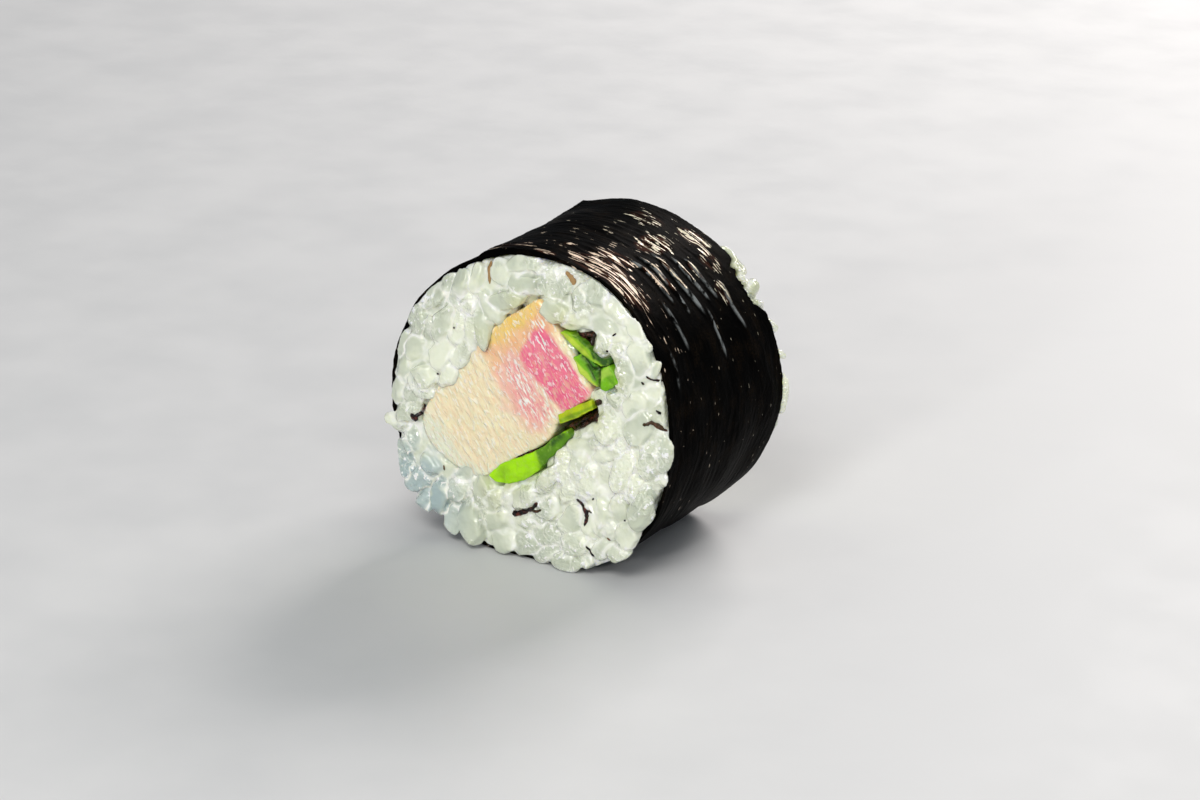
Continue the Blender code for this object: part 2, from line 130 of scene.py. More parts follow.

# Dark hollows beside the scallion, which no grain covers.
# Dark scraps sit in them, partly nori and partly painted shade of the hollows.
POCKETS = (
    ((7.4, 11.8), (10.2, 12.3), (9.6, 10.2)),
    ((5.9, -0.6), (8.1, 0.9), (10.5, 2.3), (11.1, 1.2), (9.9, 1.1), (8.4, -0.1), (7.0, -0.9)),
)
# The fish's tip, which the grains beside it leave free.
FISH_TIP = ((2.4, 15.8), (0.6, 14.8), (-0.8, 13.4), (2.0, 13.2), (2.7, 14.4), (3.3, 15.5), (3.1, 15.9))
# Dark green scraps between the blades of the scallion, which are painted shade.
GREEN_SHADE_POCKETS = (
    ((7.2, 10.2), (8.8, 10.0), (10.6, 9.0), (12.6, 9.4), (12.4, 8.0), (10.4, 7.8), (7.6, 8.6)),
)

# Crumbs of nori on the near cut: how pale they are, and a line of (u, w, width).
CRUMBS = (
    (0.0, ((-17.0, -3.0, 0.5), (-16.5, -3.6, 0.8), (-15.9, -2.7, 0.8), (-15.6, -1.6, 0.35))),
    (0.0, ((-2.0, -13.6, 0.8), (-0.9, -13.3, 1.0), (0.4, -12.6, 0.45), (1.3, -12.1, 1.1), (2.0, -11.2, 0.8))),
    (0.1, ((1.0, -12.5, 0.4), (2.0, -12.3, 0.35), (2.7, -11.9, 0.25))),
    (0.0, ((7.7, -9.5, 0.35), (8.5, -10.1, 0.55), (9.4, -10.8, 0.8), (9.5, -11.6, 0.5), (9.2, -12.6, 0.35))),
    (0.0, ((9.3, -10.7, 0.3), (9.7, -10.6, 0.25), (10.1, -10.8, 0.2))),
    (0.2, ((-12.3, -9.1, 0.3), (-12.2, -9.8, 0.35))),
    (0.0, ((9.4, -15.2, 0.2), (9.8, -15.8, 0.3), (10.4, -16.6, 0.35))),
    (0.0, ((10.0, -9.0, 0.3), (10.2, -9.1, 0.35))),
    (0.3, ((12.4, -13.9, 0.5), (12.6, -13.6, 0.6))),
    (0.0, ((14.7, -10.8, 0.3), (14.9, -10.8, 0.35))),
    (0.0, ((17.0, 7.5, 0.25), (17.4, 7.2, 0.35))),
    (0.0, ((17.6, 8.3, 0.2), (18.6, 8.0, 0.3), (19.6, 7.7, 0.3))),
    (0.1, ((17.6, 2.3, 0.3), (18.6, 2.6, 0.6), (19.5, 2.1, 0.7), (20.3, 1.6, 0.4))),
    (0.0, ((19.0, 4.2, 0.3), (19.5, 3.7, 0.4))),
    (0.05, ((9.7, 3.1, 0.5), (10.7, 3.6, 0.8), (11.3, 4.0, 0.9))),
    (0.0, ((-13.1, 3.0, 0.3), (-12.8, 2.9, 0.35))),
    (0.0, ((-10.4, 9.5, 0.25), (-10.1, 9.6, 0.25))),
    (0.0, ((12.0, 10.4, 0.25), (12.3, 10.6, 0.3))),
    (0.0, ((12.8, 12.5, 0.25), (13.3, 12.9, 0.25))),
    (0.8, ((-5.6, 18.6, 0.5), (-5.2, 17.6, 0.6), (-5.1, 16.0, 0.35))),
    (0.9, ((5.8, 19.3, 0.3), (6.3, 18.9, 0.8), (6.9, 18.5, 1.2), (7.3, 18.0, 0.6))),
    (0.0, ((-1.3, -5.9, 0.2), (0.6, -4.8, 0.45), (2.6, -3.6, 0.4))),
)

# Colours, linear.
RICE_CLEAR = (0.60, 0.645, 0.52)
RICE_MILKY = (0.82, 0.85, 0.70)
# Painted highlight: pale lines along the grains' edges and over the wet film.
RICE_EDGE_HIGHLIGHT = (0.95, 0.96, 0.88)
# Painted shade in the hollows between grains.
RICE_CREASE_SHADE = (0.64, 0.68, 0.52)
# Painted cool shade: the rice turns bluer and darker towards its lower left.
RICE_COOL_SHADE = (0.27, 0.40, 0.46)
# Where the rice is milkier than elsewhere: middle (u, w), radius and strength. A negative strength makes it clearer
# and darker instead, which is painted shade along the rim.
MILKY_AND_SHADED_ZONES = ((-12.8, 3.4, 4.0, 0.9), (-8.6, 9.0, 2.6, 0.3), (-13.2, -7.6, 2.6, 0.7), (12.4, -4.6, 4.6, 0.9),
               (8.0, -9.0, 4.2, 0.6), (11.4, 12.2, 2.6, 0.6), (-1.0, -13.6, 3.0, 0.4), (3.0, 14.5, 3.0, 0.3),
               (-19.0, 2.0, 4.5, -0.9), (-16.8, 8.6, 3.5, -0.9), (-12.5, 14.5, 4.5, -0.9), (-1.0, 18.0, 4.0, -0.7), (15.0, 8.5, 4.0, -0.8),
               (9.5, 17.0, 4.0, -0.5), (16.0, -10.0, 4.0, -0.5), (-6.0, -15.0, 5.0, -0.4), (4.0, -17.5, 5.0, -0.4))
RICE_JUICE = (0.68, 0.68, 0.28)
# Where juice has run into it at the near and at the far cut, in the same way.
JUICY_ZONES = (
    ((6.0, 13.2, 2.0, 0.9), (10.6, 1.6, 1.5, 0.7), (-4.6, -11.0, 3.0, 0.4), (-6.0, 9.6, 1.5, 0.5), (-0.6, 14.3, 1.5, 0.9)),
    ((15.6, 13.6, 4.0, 0.7),),
)
FISH_BEIGE = (0.91, 0.80, 0.54)
# Magenta of the pink flesh's own mottling, and also the painted shade between fibres in the streaky zones.
FISH_MAGENTA_MOTTLE_AND_SHADE = (0.80, 0.10, 0.24)
# Painted shade between the fish's fibres.
FISH_HONEY_SHADE = (0.80, 0.60, 0.36)
LEAF_DARK = (0.03, 0.09, 0.008)
LEAF_PALE = (0.45, 0.66, 0.10)

# Colours of the fish's flesh: an outline of (u, w) points, how far it fades, and the colour.
FISH_ZONES = (
    (((-15.2, -0.6), (-12.3, -4.2), (-9.7, -7.0), (-6.2, -9.0), (-7.0, -12.0), (-14.0, -11.0), (-19.0, -6.0)),
     1.1, (0.80, 0.82, 0.64)),
    (((2.4, 15.8), (5.4, 11.5), (1.4, 9.0), (-1.0, 5.0), (-3.8, 3.6), (-5.4, 6.0), (-6.6, 8.6), (-4.4, 10.8)),
     1.2, (0.88, 0.50, 0.26)),
    (((2.9, 16.0), (1.9, 13.2), (-3.0, 9.0), (-5.6, 8.8), (-4.4, 11.4)), 0.9, (0.88, 0.60, 0.13)),
    (((-3.6, 6.6), (-0.8, 8.0), (2.4, 4.0), (4.4, 1.6), (2.6, -1.4), (-1.6, -0.4), (-3.9, 3.2)),
     1.4, (0.90, 0.50, 0.42)),
    (((-0.4, 8.2), (0.0, 9.2), (1.5, 10.9), (2.6, 12.0), (4.6, 10.8), (6.6, 8.4), (8.0, 6.2), (9.6, 4.8), (8.8, 2.6),
      (6.2, 1.2), (5.0, 1.8), (3.8, 3.1), (1.3, 5.6), (-0.4, 7.3)), 0.35, (0.87, 0.14, 0.27)),
)
# Where the wet fibres shine most: the painted highlights on them are strongest there, and the painted shade between
# them turns magenta.
STREAK_ZONES = (
    ((-2.8, 6.2), (-0.6, 7.4), (1.5, 5.4), (4.2, 2.4), (4.8, 1.0), (2.6, -1.2), (-0.8, 0.6)),
    ((1.2, 12.8), (2.8, 13.2), (5.0, 10.2), (4.2, 8.8), (0.6, 10.0)),
    ((4.8, 8.6), (6.4, 8.4), (7.0, 6.8), (5.2, 6.8)),
)
FIBRE_DIRECTION = -54                # degrees, of the wet fibres on the fish

NORI_BLACK = (0.0012, 0.0012, 0.0012)
NORI_BROWN = (0.014, 0.009, 0.005)
# Painted dim sheen: reddish brown between the strokes, inside the shine zones only.
NORI_DIM_SHEEN = (0.055, 0.020, 0.012)
# Painted highlight: soft blue-grey on the folds' crests.
NORI_FOLD_HIGHLIGHT = (0.20, 0.215, 0.215)
# Painted highlight colours of the glossy strokes.
NORI_PINK_HIGHLIGHT = (0.92, 0.73, 0.54)
NORI_CREAM_HIGHLIGHT = (0.90, 0.84, 0.62)
NORI_SHEEN = (1.0, 0.80, 0.70)
# Where the nori shines, with real gloss and a painted highlight colour: middle angle in degrees and y, half sizes in
# degrees and millimetres, and strength.
SHEEN_ZONES = (
    (61, -10.2, 21, 3.2, 1.0), (66, -6.5, 9, 2.4, 0.8), (66, 2.0, 7, 4.0, 0.9), (78, 7.5, 10, 2.6, 0.6),
    (62, 9.6, 8, 2.0, 1.0), (51, 8.0, 7, 2.4, 0.75), (53, -4.6, 8, 0.7, 1.1), (52, -2.9, 7, 0.5, 1.1),
    (52, -0.5, 9, 0.6, 1.2), (51, 2.2, 6, 0.5, 1.1), (50, 4.0, 5, 0.6, 1.1), (39, 5.8, 6, 1.5, 0.75), (84, -12.2, 6, 0.8, 0.8), (82, -8.0, 4, 1.2, 0.5),
    (72, 0.0, 28, 15.0, 0.25), (100, -11.0, 14, 2.0, 0.5), (34, -9.5, 14, 3.5, 0.25),
)
# Folds in the sheet that run round the roll: y, middle angle and half length in degrees, height.
NORI_FOLDS = (
    (-4.6, 53, 13, 0.30), (-2.9, 50, 16, 0.34), (-0.5, 49, 17, 0.36), (2.2, 48, 13, 0.30), (4.0, 47, 12, 0.26),
    (-6.6, 36, 12, 0.20), (0.8, 28, 12, 0.22), (6.4, 34, 12, 0.22), (-10.4, 24, 10, 0.16),
)
CRUMB_BROWN = (0.12, 0.024, 0.015)
CRUMB_TAN = (0.42, 0.26, 0.11)
# Painted shade: dark green between the scallion's blades.
GREEN_SHADE = (0.012, 0.05, 0.008)


# ---------------------------------------------------------------- measuring the CAD
def node_tree(name):
    bm = bmesh.new()
    bm.from_mesh(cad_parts[name].data)
    tree = BVHTree.FromBMesh(bm)
    bm.free()
    return tree


def section_outline(name):
    """The outline of a filling, as (u, w) points, cut through the middle of its CAD node."""
    bm = bmesh.new()
    bm.from_mesh(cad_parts[name].data)
    bmesh.ops.remove_doubles(bm, verts=bm.verts, dist=1e-6)
    cut = bmesh.ops.bisect_plane(bm, geom=bm.verts[:] + bm.edges[:] + bm.faces[:],
                                 plane_co=(0, 0, 0), plane_no=(0, 1, 0), clear_inner=True, clear_outer=True)
    edges = [e for e in cut["geom_cut"] if isinstance(e, bmesh.types.BMEdge)]
    vertex = edges[0].verts[0]
    points, used = [], set()
    while True:
        points.append((vertex.co.x / MM - AXIS_U, vertex.co.z / MM - AXIS_W))
        following = [e for e in vertex.link_edges if e not in used]
        if not following:
            break
        used.add(following[0])
        vertex = following[0].other_vert(vertex)
    bm.free()
    return np.array(points[:-1])


def distance_to(outline, points):
    """Signed distance of points (n, 2) to a closed outline, negative inside, and the way out to it."""
    a = outline[None]
    b = np.roll(outline, -1, axis=0)[None]
    p = points[:, None]
    along = b - a
    share = np.clip(((p - a) * along).sum(2) / (along ** 2).sum(2), 0, 1)
    away = p - (a + along * share[..., None])
    distance = np.sqrt((away ** 2).sum(2))
    nearest = distance.argmin(1)
    rows = np.arange(len(points))
    crosses = (a[..., 1] > p[..., 1]) != (b[..., 1] > p[..., 1])
    rise = np.where(along[..., 1] == 0, 1e-9, along[..., 1])
    left = p[..., 0] < along[..., 0] * (p[..., 1] - a[..., 1]) / rise + a[..., 0]
    inside = (crosses & left).sum(1) % 2 == 1
    reach = distance[rows, nearest]
    way = away[rows, nearest] / np.maximum(reach, 1e-9)[:, None]
    sign = np.where(inside, -1.0, 1.0)
    return reach * sign, way * sign[:, None]


class Wrap:
    """The inside of the nori as a smooth function, measured with rays from the roll's axis."""
    STEPS, ROWS, SMOOTHING = 180, 9, 3

    def __init__(self):
        tree = node_tree("nori")
        low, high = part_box("nori")
        self.angles = np.arange(self.STEPS) * math.tau / self.STEPS
        middle = (low.y + high.y) / 2 / MM
        self.near = np.array([self.rim(tree, a, middle, low.y / MM - 1) for a in self.angles])
        self.far = np.array([self.rim(tree, a, middle, high.y / MM + 1) for a in self.angles])
        inset = 0.05
        rows = []
        for row in range(self.ROWS):
            share = inset + (1 - 2 * inset) * row / (self.ROWS - 1)
            ys = self.near + (self.far - self.near) * share
            rows.append([self.hit(tree, a, y) for a, y in zip(self.angles, ys)])
        self.radii = np.array(rows)
        for _ in range(self.SMOOTHING):
            self.radii = (np.roll(self.radii, 1, 1) + 2 * self.radii + np.roll(self.radii, -1, 1)) / 4

    def hit(self, tree, angle, y):
        """Distance from the axis to the nori, or 0 beside it."""
        start = Vector((AXIS_U, y, AXIS_W)) * MM
        found = tree.ray_cast(start, Vector((math.cos(angle), 0, math.sin(angle))))
        return found[3] / MM if found[0] else 0.0

    def rim(self, tree, angle, inside, outside):
        for _ in range(12):
            middle = (inside + outside) / 2
            if self.hit(tree, angle, middle):
                inside = middle
            else:
                outside = middle
        return inside

    def around(self, values, angle):
        return np.interp(angle % math.tau, np.append(self.angles, math.tau), np.append(values, values[0]))

    def near_rim(self, angle):
        return self.around(self.near, angle)

    def far_rim(self, angle):
        return self.around(self.far, angle)

    def radius(self, angle, y):
        """Radius of the nori's inner side. angle and y are arrays of one shape."""
        near, far = self.near_rim(angle), self.far_rim(angle)
        row = np.clip((y - near) / (far - near), 0, 1) * (self.ROWS - 1)
        lower = np.minimum(row.astype(int), self.ROWS - 2)
        step = (angle % math.tau) / math.tau * self.STEPS
        left = step.astype(int) % self.STEPS
        right = (left + 1) % self.STEPS
        s, t = step - step.astype(int), row - lower
        table = self.radii
        below = table[lower, left] * (1 - s) + table[lower, right] * s
        above = table[lower + 1, left] * (1 - s) + table[lower + 1, right] * s
        return below * (1 - t) + above * t


# ---------------------------------------------------------------- making pieces
def smooth_step(t):
    t = np.clip(t, 0.0, 1.0)
    return t * t * (3 - 2 * t)


def noise_at(points):
    """Smooth noise, about -0.6 to 0.6, at points (n, 3)."""
    return np.array([noise.noise(p) for p in points.tolist()])


def to_world(points):
    """Section points (n, 3) as u, y, w in millimetres, to metres in the frame."""
    return (points + (AXIS_U, 0, AXIS_W)) * MM


def make_piece(name, points, faces, material, replaced, attributes=None):
    """A smooth mesh piece from section points (u, y, w), on the roll's one body."""
    mesh = bpy.data.meshes.new(name)
    mesh.from_pydata(to_world(points).tolist(), [], faces)
    mesh.shade_smooth()
    mesh.materials.append(material)
    for key, values in (attributes or {}).items():
        values = np.asarray(values, np.float32)
        kind, field = ("FLOAT", "value") if values.ndim == 1 else ("FLOAT_VECTOR", "vector")
        mesh.attributes.new(key, kind, "POINT").data.foreach_set(field, values.ravel())
    piece = bpy.data.objects.new(name, mesh)
    bpy.context.scene.collection.objects.link(piece)
    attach(piece, "root")
    if replaced:
        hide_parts(*replaced)
    return piece


def ring_faces(rings, steps, closed):
    """Quads between rings of steps points. closed joins the last ring to the first."""
    grid = np.arange(rings * steps).reshape(rings, steps)
    if closed:
        grid = np.vstack([grid, grid[:1]])
    across = np.roll(grid, -1, axis=1)
    quads = np.stack([grid[:-1], grid[1:], across[1:], across[:-1]], axis=-1)
    return quads.reshape(-1, 4).tolist()


# ---------------------------------------------------------------- materials
class Shader:
    """A Principled material, and short ways to add the nodes that feed it."""

    def __init__(self, name):
        self.material = bpy.data.materials.new(name)
        self.material.use_nodes = True
        self.nodes = self.material.node_tree.nodes
        self.links = self.material.node_tree.links
        self.surface = self.nodes["Principled BSDF"]
        self.place = self.node("ShaderNodeTexCoord").outputs["Object"]

    def node(self, kind, **settings):
        made = self.nodes.new(kind)
        for key, value in settings.items():
            setattr(made, key, value)
        return made

    def feed(self, socket, value):
        if isinstance(value, bpy.types.NodeSocket):
            self.links.new(value, socket)
        elif isinstance(value, tuple) and len(value) == 3 and socket.type == "RGBA":
            socket.default_value = (*value, 1.0)
        else:
            socket.default_value = value

    def set(self, **values):
        """Sets sockets of the surface shader; an underscore in a name stands for a space."""
        for key, value in values.items():
            self.feed(self.surface.inputs[key.replace("_", " ")], value)

    def attribute(self, name, output="Fac"):
        return self.node("ShaderNodeAttribute", attribute_name=name).outputs[output]

    def stretched(self, vector, lengths, direction=0.0):
        """The vector for a texture that is this much longer along its axes, turned to a direction in degrees."""
        node = self.node("ShaderNodeMapping", vector_type="TEXTURE")
        self.feed(node.inputs["Vector"], vector)
        node.inputs["Rotation"].default_value = (0, -math.radians(direction), 0)
        node.inputs["Scale"].default_value = lengths
        return node.outputs["Vector"]

    def noise(self, vector, scale, detail=3.0, roughness=0.55, distortion=0.0):
        node = self.node("ShaderNodeTexNoise")
        self.feed(node.inputs["Vector"], vector)
        node.inputs["Scale"].default_value = scale
        node.inputs["Detail"].default_value = detail
        node.inputs["Roughness"].default_value = roughness
        node.inputs["Distortion"].default_value = distortion
        return node.outputs["Fac"]

    def math(self, operation, a, b=0.0, clamp=False):
        node = self.node("ShaderNodeMath", operation=operation, use_clamp=clamp)
        self.feed(node.inputs[0], a)
        self.feed(node.inputs[1], b)
        return node.outputs[0]

    def ramp(self, value, start, end, low=0.0, high=1.0):
        node = self.node("ShaderNodeMapRange", interpolation_type="SMOOTHSTEP")
        for socket, number in zip(node.inputs[:5], (value, start, end, low, high)):
            self.feed(socket, number)
        return node.outputs[0]

    def mix(self, factor, a, b):
        node = self.node("ShaderNodeMix", data_type="RGBA")
        self.feed(node.inputs["Factor"], factor)
        self.feed(node.inputs[6], a)
        self.feed(node.inputs[7], b)
        return node.outputs[2]

    def bump(self, height, distance, strength=1.0, below=None):
        node = self.node("ShaderNodeBump")
        node.inputs["Strength"].default_value = strength
        node.inputs["Distance"].default_value = distance * MM
        self.feed(node.inputs["Height"], height)
        if below is not None:
            self.links.new(below, node.inputs["Normal"])
        return node.outputs["Normal"]

    def second_of(self, vector):
        """The vector's second number."""
        node = self.node("ShaderNodeSeparateXYZ")
        self.links.new(vector, node.inputs[0])
        return node.outputs[1]


def nori_material():
    """Toasted seaweed: black, with a broken gloss in streaks that run round the roll; the strokes also carry a painted
    highlight colour, and the folds a painted grey highlight.
    """
    s = Shader("nori_toasted")
    wrap = s.attribute("wrap", "Vector")
    sheen = s.attribute("sheen")
    threads = s.noise(s.stretched(wrap, (5.0, 1.0, 1.0)), 2.6, 2.0, 0.5, 0.5)
    wander = s.noise(s.stretched(wrap, (5.0, 1.0, 1.0)), 0.9, 2.0, 0.5)
    phase = s.math("ADD", s.math("MULTIPLY", s.second_of(wrap), 10.0), s.math("MULTIPLY", wander, 20.0))
    ripple = s.math("MULTIPLY", s.math("SUBTRACT", s.noise(wrap, 2.6, 2.0), 0.5), 2.6)
    lines = s.ramp(s.math("ADD", s.math("SINE", phase), ripple), 0.05, 0.45)
    breaks = s.noise(s.stretched(wrap, (3.6, 1.0, 1.0)), 1.8, 2.0, 0.5)
    patches = s.noise(s.stretched(wrap, (1.6, 1.0, 1.0)), 0.5, 3.0, 0.6)
    specks = s.noise(s.stretched(wrap, (1.6, 1.0, 1.0)), 2.0, 2.0, 0.6)
    grain = s.noise(s.stretched(wrap, (1.5, 1.0, 1.0)), 6.0, 3.0, 0.7)
    cells = s.noise(s.stretched(wrap, (1.8, 1.0, 1.0)), 1.1, 3.0, 0.6, 0.6)
    fold = s.attribute("fold")
    brown = s.math("MULTIPLY", s.ramp(patches, 0.45, 0.7), s.ramp(grain, 0.4, 0.7))
    chance = s.math("ADD", breaks, s.math("MULTIPLY", s.math("ADD", patches, -0.5), 0.35))
    glossy = s.ramp(s.math("ADD", chance, s.math("MULTIPLY", sheen, 0.34)), 0.71, 0.77)
    glossy = s.math("MULTIPLY", glossy, lines)
    speckled = s.ramp(s.math("ADD", patches, s.math("MULTIPLY", sheen, 0.15)), 0.50, 0.62, 0.0, 0.7)
    glossy = s.math("ADD", glossy, s.math("MULTIPLY", s.ramp(specks, 0.72, 0.74), speckled), clamp=True)
    relief = s.bump(grain, 0.05, 0.6, s.bump(threads, 0.015, 1.0, s.bump(glossy, 0.08, 1.0, s.bump(cells, 0.12, 1.0))))
    # Painted highlight colour of the glossy strokes, pink near the rim and cream further on; their gloss is real too.
    fibre = s.mix(s.ramp(s.math("ADD", s.second_of(wrap), s.math("MULTIPLY", patches, 8.0)), -2.0, 8.0), NORI_PINK_HIGHLIGHT,
                  NORI_CREAM_HIGHLIGHT)
    ground = s.mix(brown, NORI_BLACK, NORI_BROWN)
    # Painted dim sheen: reddish brown between the strokes inside the shine zones.
    ground = s.mix(s.math("MULTIPLY", s.ramp(sheen, 0.35, 0.9), s.ramp(threads, 0.4, 0.6)), ground, NORI_DIM_SHEEN)
    # Painted highlight: blue-grey on the folds.
    ground = s.mix(s.math("MULTIPLY", s.ramp(fold, 0.2, 0.8), s.ramp(cells, 0.40, 0.58)), ground, NORI_FOLD_HIGHLIGHT)
    colour = s.mix(s.math("MULTIPLY", glossy, 0.92), ground, fibre)
    s.set(Base_Color=colour, Roughness=s.ramp(glossy, 0.0, 1.0, 0.45, 0.2),
          Specular_IOR_Level=s.ramp(glossy, 0.0, 1.0, 0.006, 1.0), Specular_Tint=NORI_SHEEN, Normal=relief)
    return s.material


def rice_material():
    """Cooked rice: clear, moist grains with milky hearts and pale edges, darker where they meet; the pale edges and
    wet glints are painted highlights, the darker creases and bluer lower left painted shade.
    """
    s = Shader("rice_grain")
    tone = s.attribute("grain_tone")
    border = s.attribute("grain_border")
    milk = s.noise(s.place, 300.0, 3.0, 0.5, 0.3)
    milky = s.ramp(s.math("ADD", milk, s.math("MULTIPLY", tone, 0.5)), 0.5, 0.95)
    colour = s.mix(milky, RICE_CLEAR, RICE_MILKY)
    # Painted cool shade towards the lower left.
    colour = s.mix(s.math("MULTIPLY", s.attribute("grain_cool_shade"), 0.8), colour, RICE_COOL_SHADE)
    colour = s.mix(s.math("MULTIPLY", s.attribute("grain_juice"), 0.5), colour, RICE_JUICE)
    broken = s.ramp(s.noise(s.place, 240.0, 2.0), 0.38, 0.6, 0.1, 1.0)
    film = s.math("ABSOLUTE", s.math("SUBTRACT", s.noise(s.place, 300.0, 2.0, 0.5, 1.3), 0.5))
    wet = s.ramp(s.noise(s.place, 170.0, 2.0), 0.44, 0.58)
    # Painted highlight: pale lines along the grains' edges, broken here and there, and a web of lines on the wet film.
    colour = s.mix(s.ramp(border, 0.05, 0.3, 0.5, 0.0), colour, RICE_EDGE_HIGHLIGHT)
    colour = s.mix(s.ramp(border, 0.06, 0.13), s.mix(broken, colour, RICE_EDGE_HIGHLIGHT), colour)
    colour = s.mix(s.math("MULTIPLY", s.ramp(film, 0.008, 0.03, 0.45, 0.0), wet), colour, RICE_EDGE_HIGHLIGHT)
    # Painted shade: darker where the grains meet.
    colour = s.mix(s.math("MULTIPLY", s.attribute("grain_hollow_shade"), 0.8), colour, RICE_CREASE_SHADE)
    beads = s.noise(s.place, 1300.0, 2.0, 0.6)
    pitted = s.noise(s.place, 600.0, 2.0, 0.5)
    # Painted highlight: near-white glints on the wet beads.
    colour = s.mix(s.math("MULTIPLY", s.ramp(beads, 0.60, 0.64), wet), colour, (1.0, 1.0, 0.96))
    relief = s.bump(s.math("MULTIPLY", beads, wet), 0.55, 1.0, s.bump(pitted, 0.2, 0.9))
    s.set(Base_Color=colour, Roughness=s.ramp(pitted, 0.3, 0.7, 0.08, 0.2), Normal=relief,
          Subsurface_Weight=0.75, Subsurface_Scale=0.9 * MM, Subsurface_Radius=(1.0, 0.95, 0.75),
          Specular_IOR_Level=0.8, IOR=1.4, Coat_Weight=0.9, Coat_Roughness=0.07, Coat_Normal=relief)
    return s.material


def fish_material():
    """Raw fish: the colours of its zones come with the mesh; wet fibres and beads are laid over them as relief, with
    painted highlights on them and painted shade between the fibres.
    """
    s = Shader("fish_flesh")
    zones = s.attribute("flesh", "Color")
    streaky = s.attribute("streaky")
    fibres = s.noise(s.stretched(s.place, (3.8, 6.0, 1.0), FIBRE_DIRECTION), 3400.0, 2.0, 0.5, 0.6)
    broad = s.noise(s.stretched(s.place, (3.0, 4.0, 1.0), FIBRE_DIRECTION), 420.0, 3.0, 0.6, 0.5)
    beads = s.noise(s.stretched(s.place, (1.8, 3.0, 1.0), FIBRE_DIRECTION), 1700.0, 2.0, 0.5, 0.4)
    shine = s.ramp(s.math("ADD", fibres, s.math("MULTIPLY", streaky, 0.06)), 0.605, 0.655)
    fibre_gap_shade = s.ramp(fibres, 0.40, 0.5, 1.0, 0.0)
    colour = s.mix(s.ramp(broad, 0.35, 0.65, 0.0, 0.12), zones, (0.97, 0.86, 0.74))
    # Painted shade in the gaps between the fibres: honey, and magenta in the streaky zones.
    colour = s.mix(s.math("MULTIPLY", fibre_gap_shade, 0.45), colour, s.mix(streaky, FISH_HONEY_SHADE, FISH_MAGENTA_MOTTLE_AND_SHADE))
    # Painted highlight: white streaks along the wet fibres.
    colour = s.mix(s.math("MULTIPLY", shine, s.ramp(streaky, 0.0, 1.0, 0.6, 0.9)), colour, (1.0, 0.96, 0.90))
    # Painted highlight: white dashes on the wet beads.
    colour = s.mix(s.ramp(beads, 0.60, 0.65, 0.0, 0.45), colour, (1.0, 0.97, 0.90))
    relief = s.bump(shine, 0.05, 1.0, s.bump(s.ramp(beads, 0.50, 0.68), 0.09, 1.0))
    s.set(Base_Color=colour, Roughness=s.ramp(beads, 0.3, 0.7, 0.1, 0.22), Normal=relief,
          Subsurface_Weight=0.65, Subsurface_Scale=0.6 * MM, Subsurface_Radius=(1.0, 0.6, 0.4),
          Specular_IOR_Level=0.6, IOR=1.4, Coat_Weight=0.6, Coat_Roughness=0.08, Coat_Normal=relief)
    return s.material


def leaf_material():
    """Scallion: the light and dark of each blade come with the mesh, some of the dark painted shade; over them fine
    veins along the roll.
    """
    s = Shader("scallion_green")
    zones = s.attribute("flesh", "Color")
    wander = s.noise(s.place, 500.0, 4.0)
    veins = s.noise(s.stretched(s.place, (1.0, 14.0, 1.0)), 1700.0, 2.0, 0.5)
    cut = s.noise(s.place, 1600.0, 3.0)
    colour = s.mix(s.ramp(wander, 0.35, 0.75, 0.0, 0.4), zones, LEAF_DARK)
    colour = s.mix(s.ramp(veins, 0.5, 0.75, 0.0, 0.3), colour, LEAF_PALE)
    s.set(Base_Color=colour, Roughness=s.ramp(wander, 0.3, 0.7, 0.2, 0.4), Normal=s.bump(cut, 0.15, 0.7, s.bump(veins, 0.08, 0.5)),
          Subsurface_Weight=0.3, Subsurface_Scale=0.5 * MM, Subsurface_Radius=(0.6, 1.0, 0.2),
          Specular_IOR_Level=0.18, Coat_Weight=0.08, Coat_Roughness=0.1)
    return s.material


def crumb_material():
    """Scraps of wet nori, some of them paler, and the painted dark green shade between the blades."""
    s = Shader("nori_crumb_and_shade")
    mottled = s.noise(s.place, 1800.0, 3.0)
    colour = s.mix(s.ramp(mottled, 0.45, 0.75), (0.004, 0.002, 0.002), CRUMB_BROWN)
    colour = s.mix(s.attribute("pale"), colour, CRUMB_TAN)
    # Painted shade: dark green between the blades.
    colour = s.mix(s.attribute("green"), colour, GREEN_SHADE)
    s.set(Base_Color=colour, Roughness=s.ramp(mottled, 0.3, 0.7, 0.15, 0.35),
          Normal=s.bump(mottled, 0.1, 0.6), Specular_IOR_Level=0.3)
    return s.material


def floor_material():
    s = Shader("pale_floor")
    speckle = s.noise(s.place, 60.0, 4.0)
    s.set(Base_Color=s.mix(speckle, (0.60, 0.61, 0.62), (0.68, 0.685, 0.69)), Roughness=s.ramp(speckle, 0.3, 0.7, 0.5, 0.62))
    return s.material


# ---------------------------------------------------------------- nori
def lap_thickness(turn, along):
    """What the doubled sheet adds, by the turn from the lap's edge: it ends there and eases in behind it.

    along is 0 at the near rim, where the lap sticks down, and 1 at the far rim, where it curls up.
    """
    behind = math.tau - turn
    rise = 1 - smooth_step(behind / LAP_SPREAD)
    stuck = smooth_step(behind / math.radians(5)) * (1 - along) + along
    curl = LAP_LIFT * along ** 3 * np.exp(-behind / math.radians(3))
    return NORI_THICKNESS * rise * stuck + curl


def within(angle, middle, half_width, fade):
    """1 inside a range of angles and 0 outside it, all in degrees but the angle itself."""
    turn = np.abs((angle - math.radians(middle) + math.pi) % math.tau - math.pi)
    return smooth_step((half_width - np.degrees(turn)) / fade + 0.5)


def notch(angle):
    """How far the nori is torn back at the far cut."""
    middle, half_width, fade, depth = FAR_NOTCH
    return depth * within(angle, middle, half_width, fade)


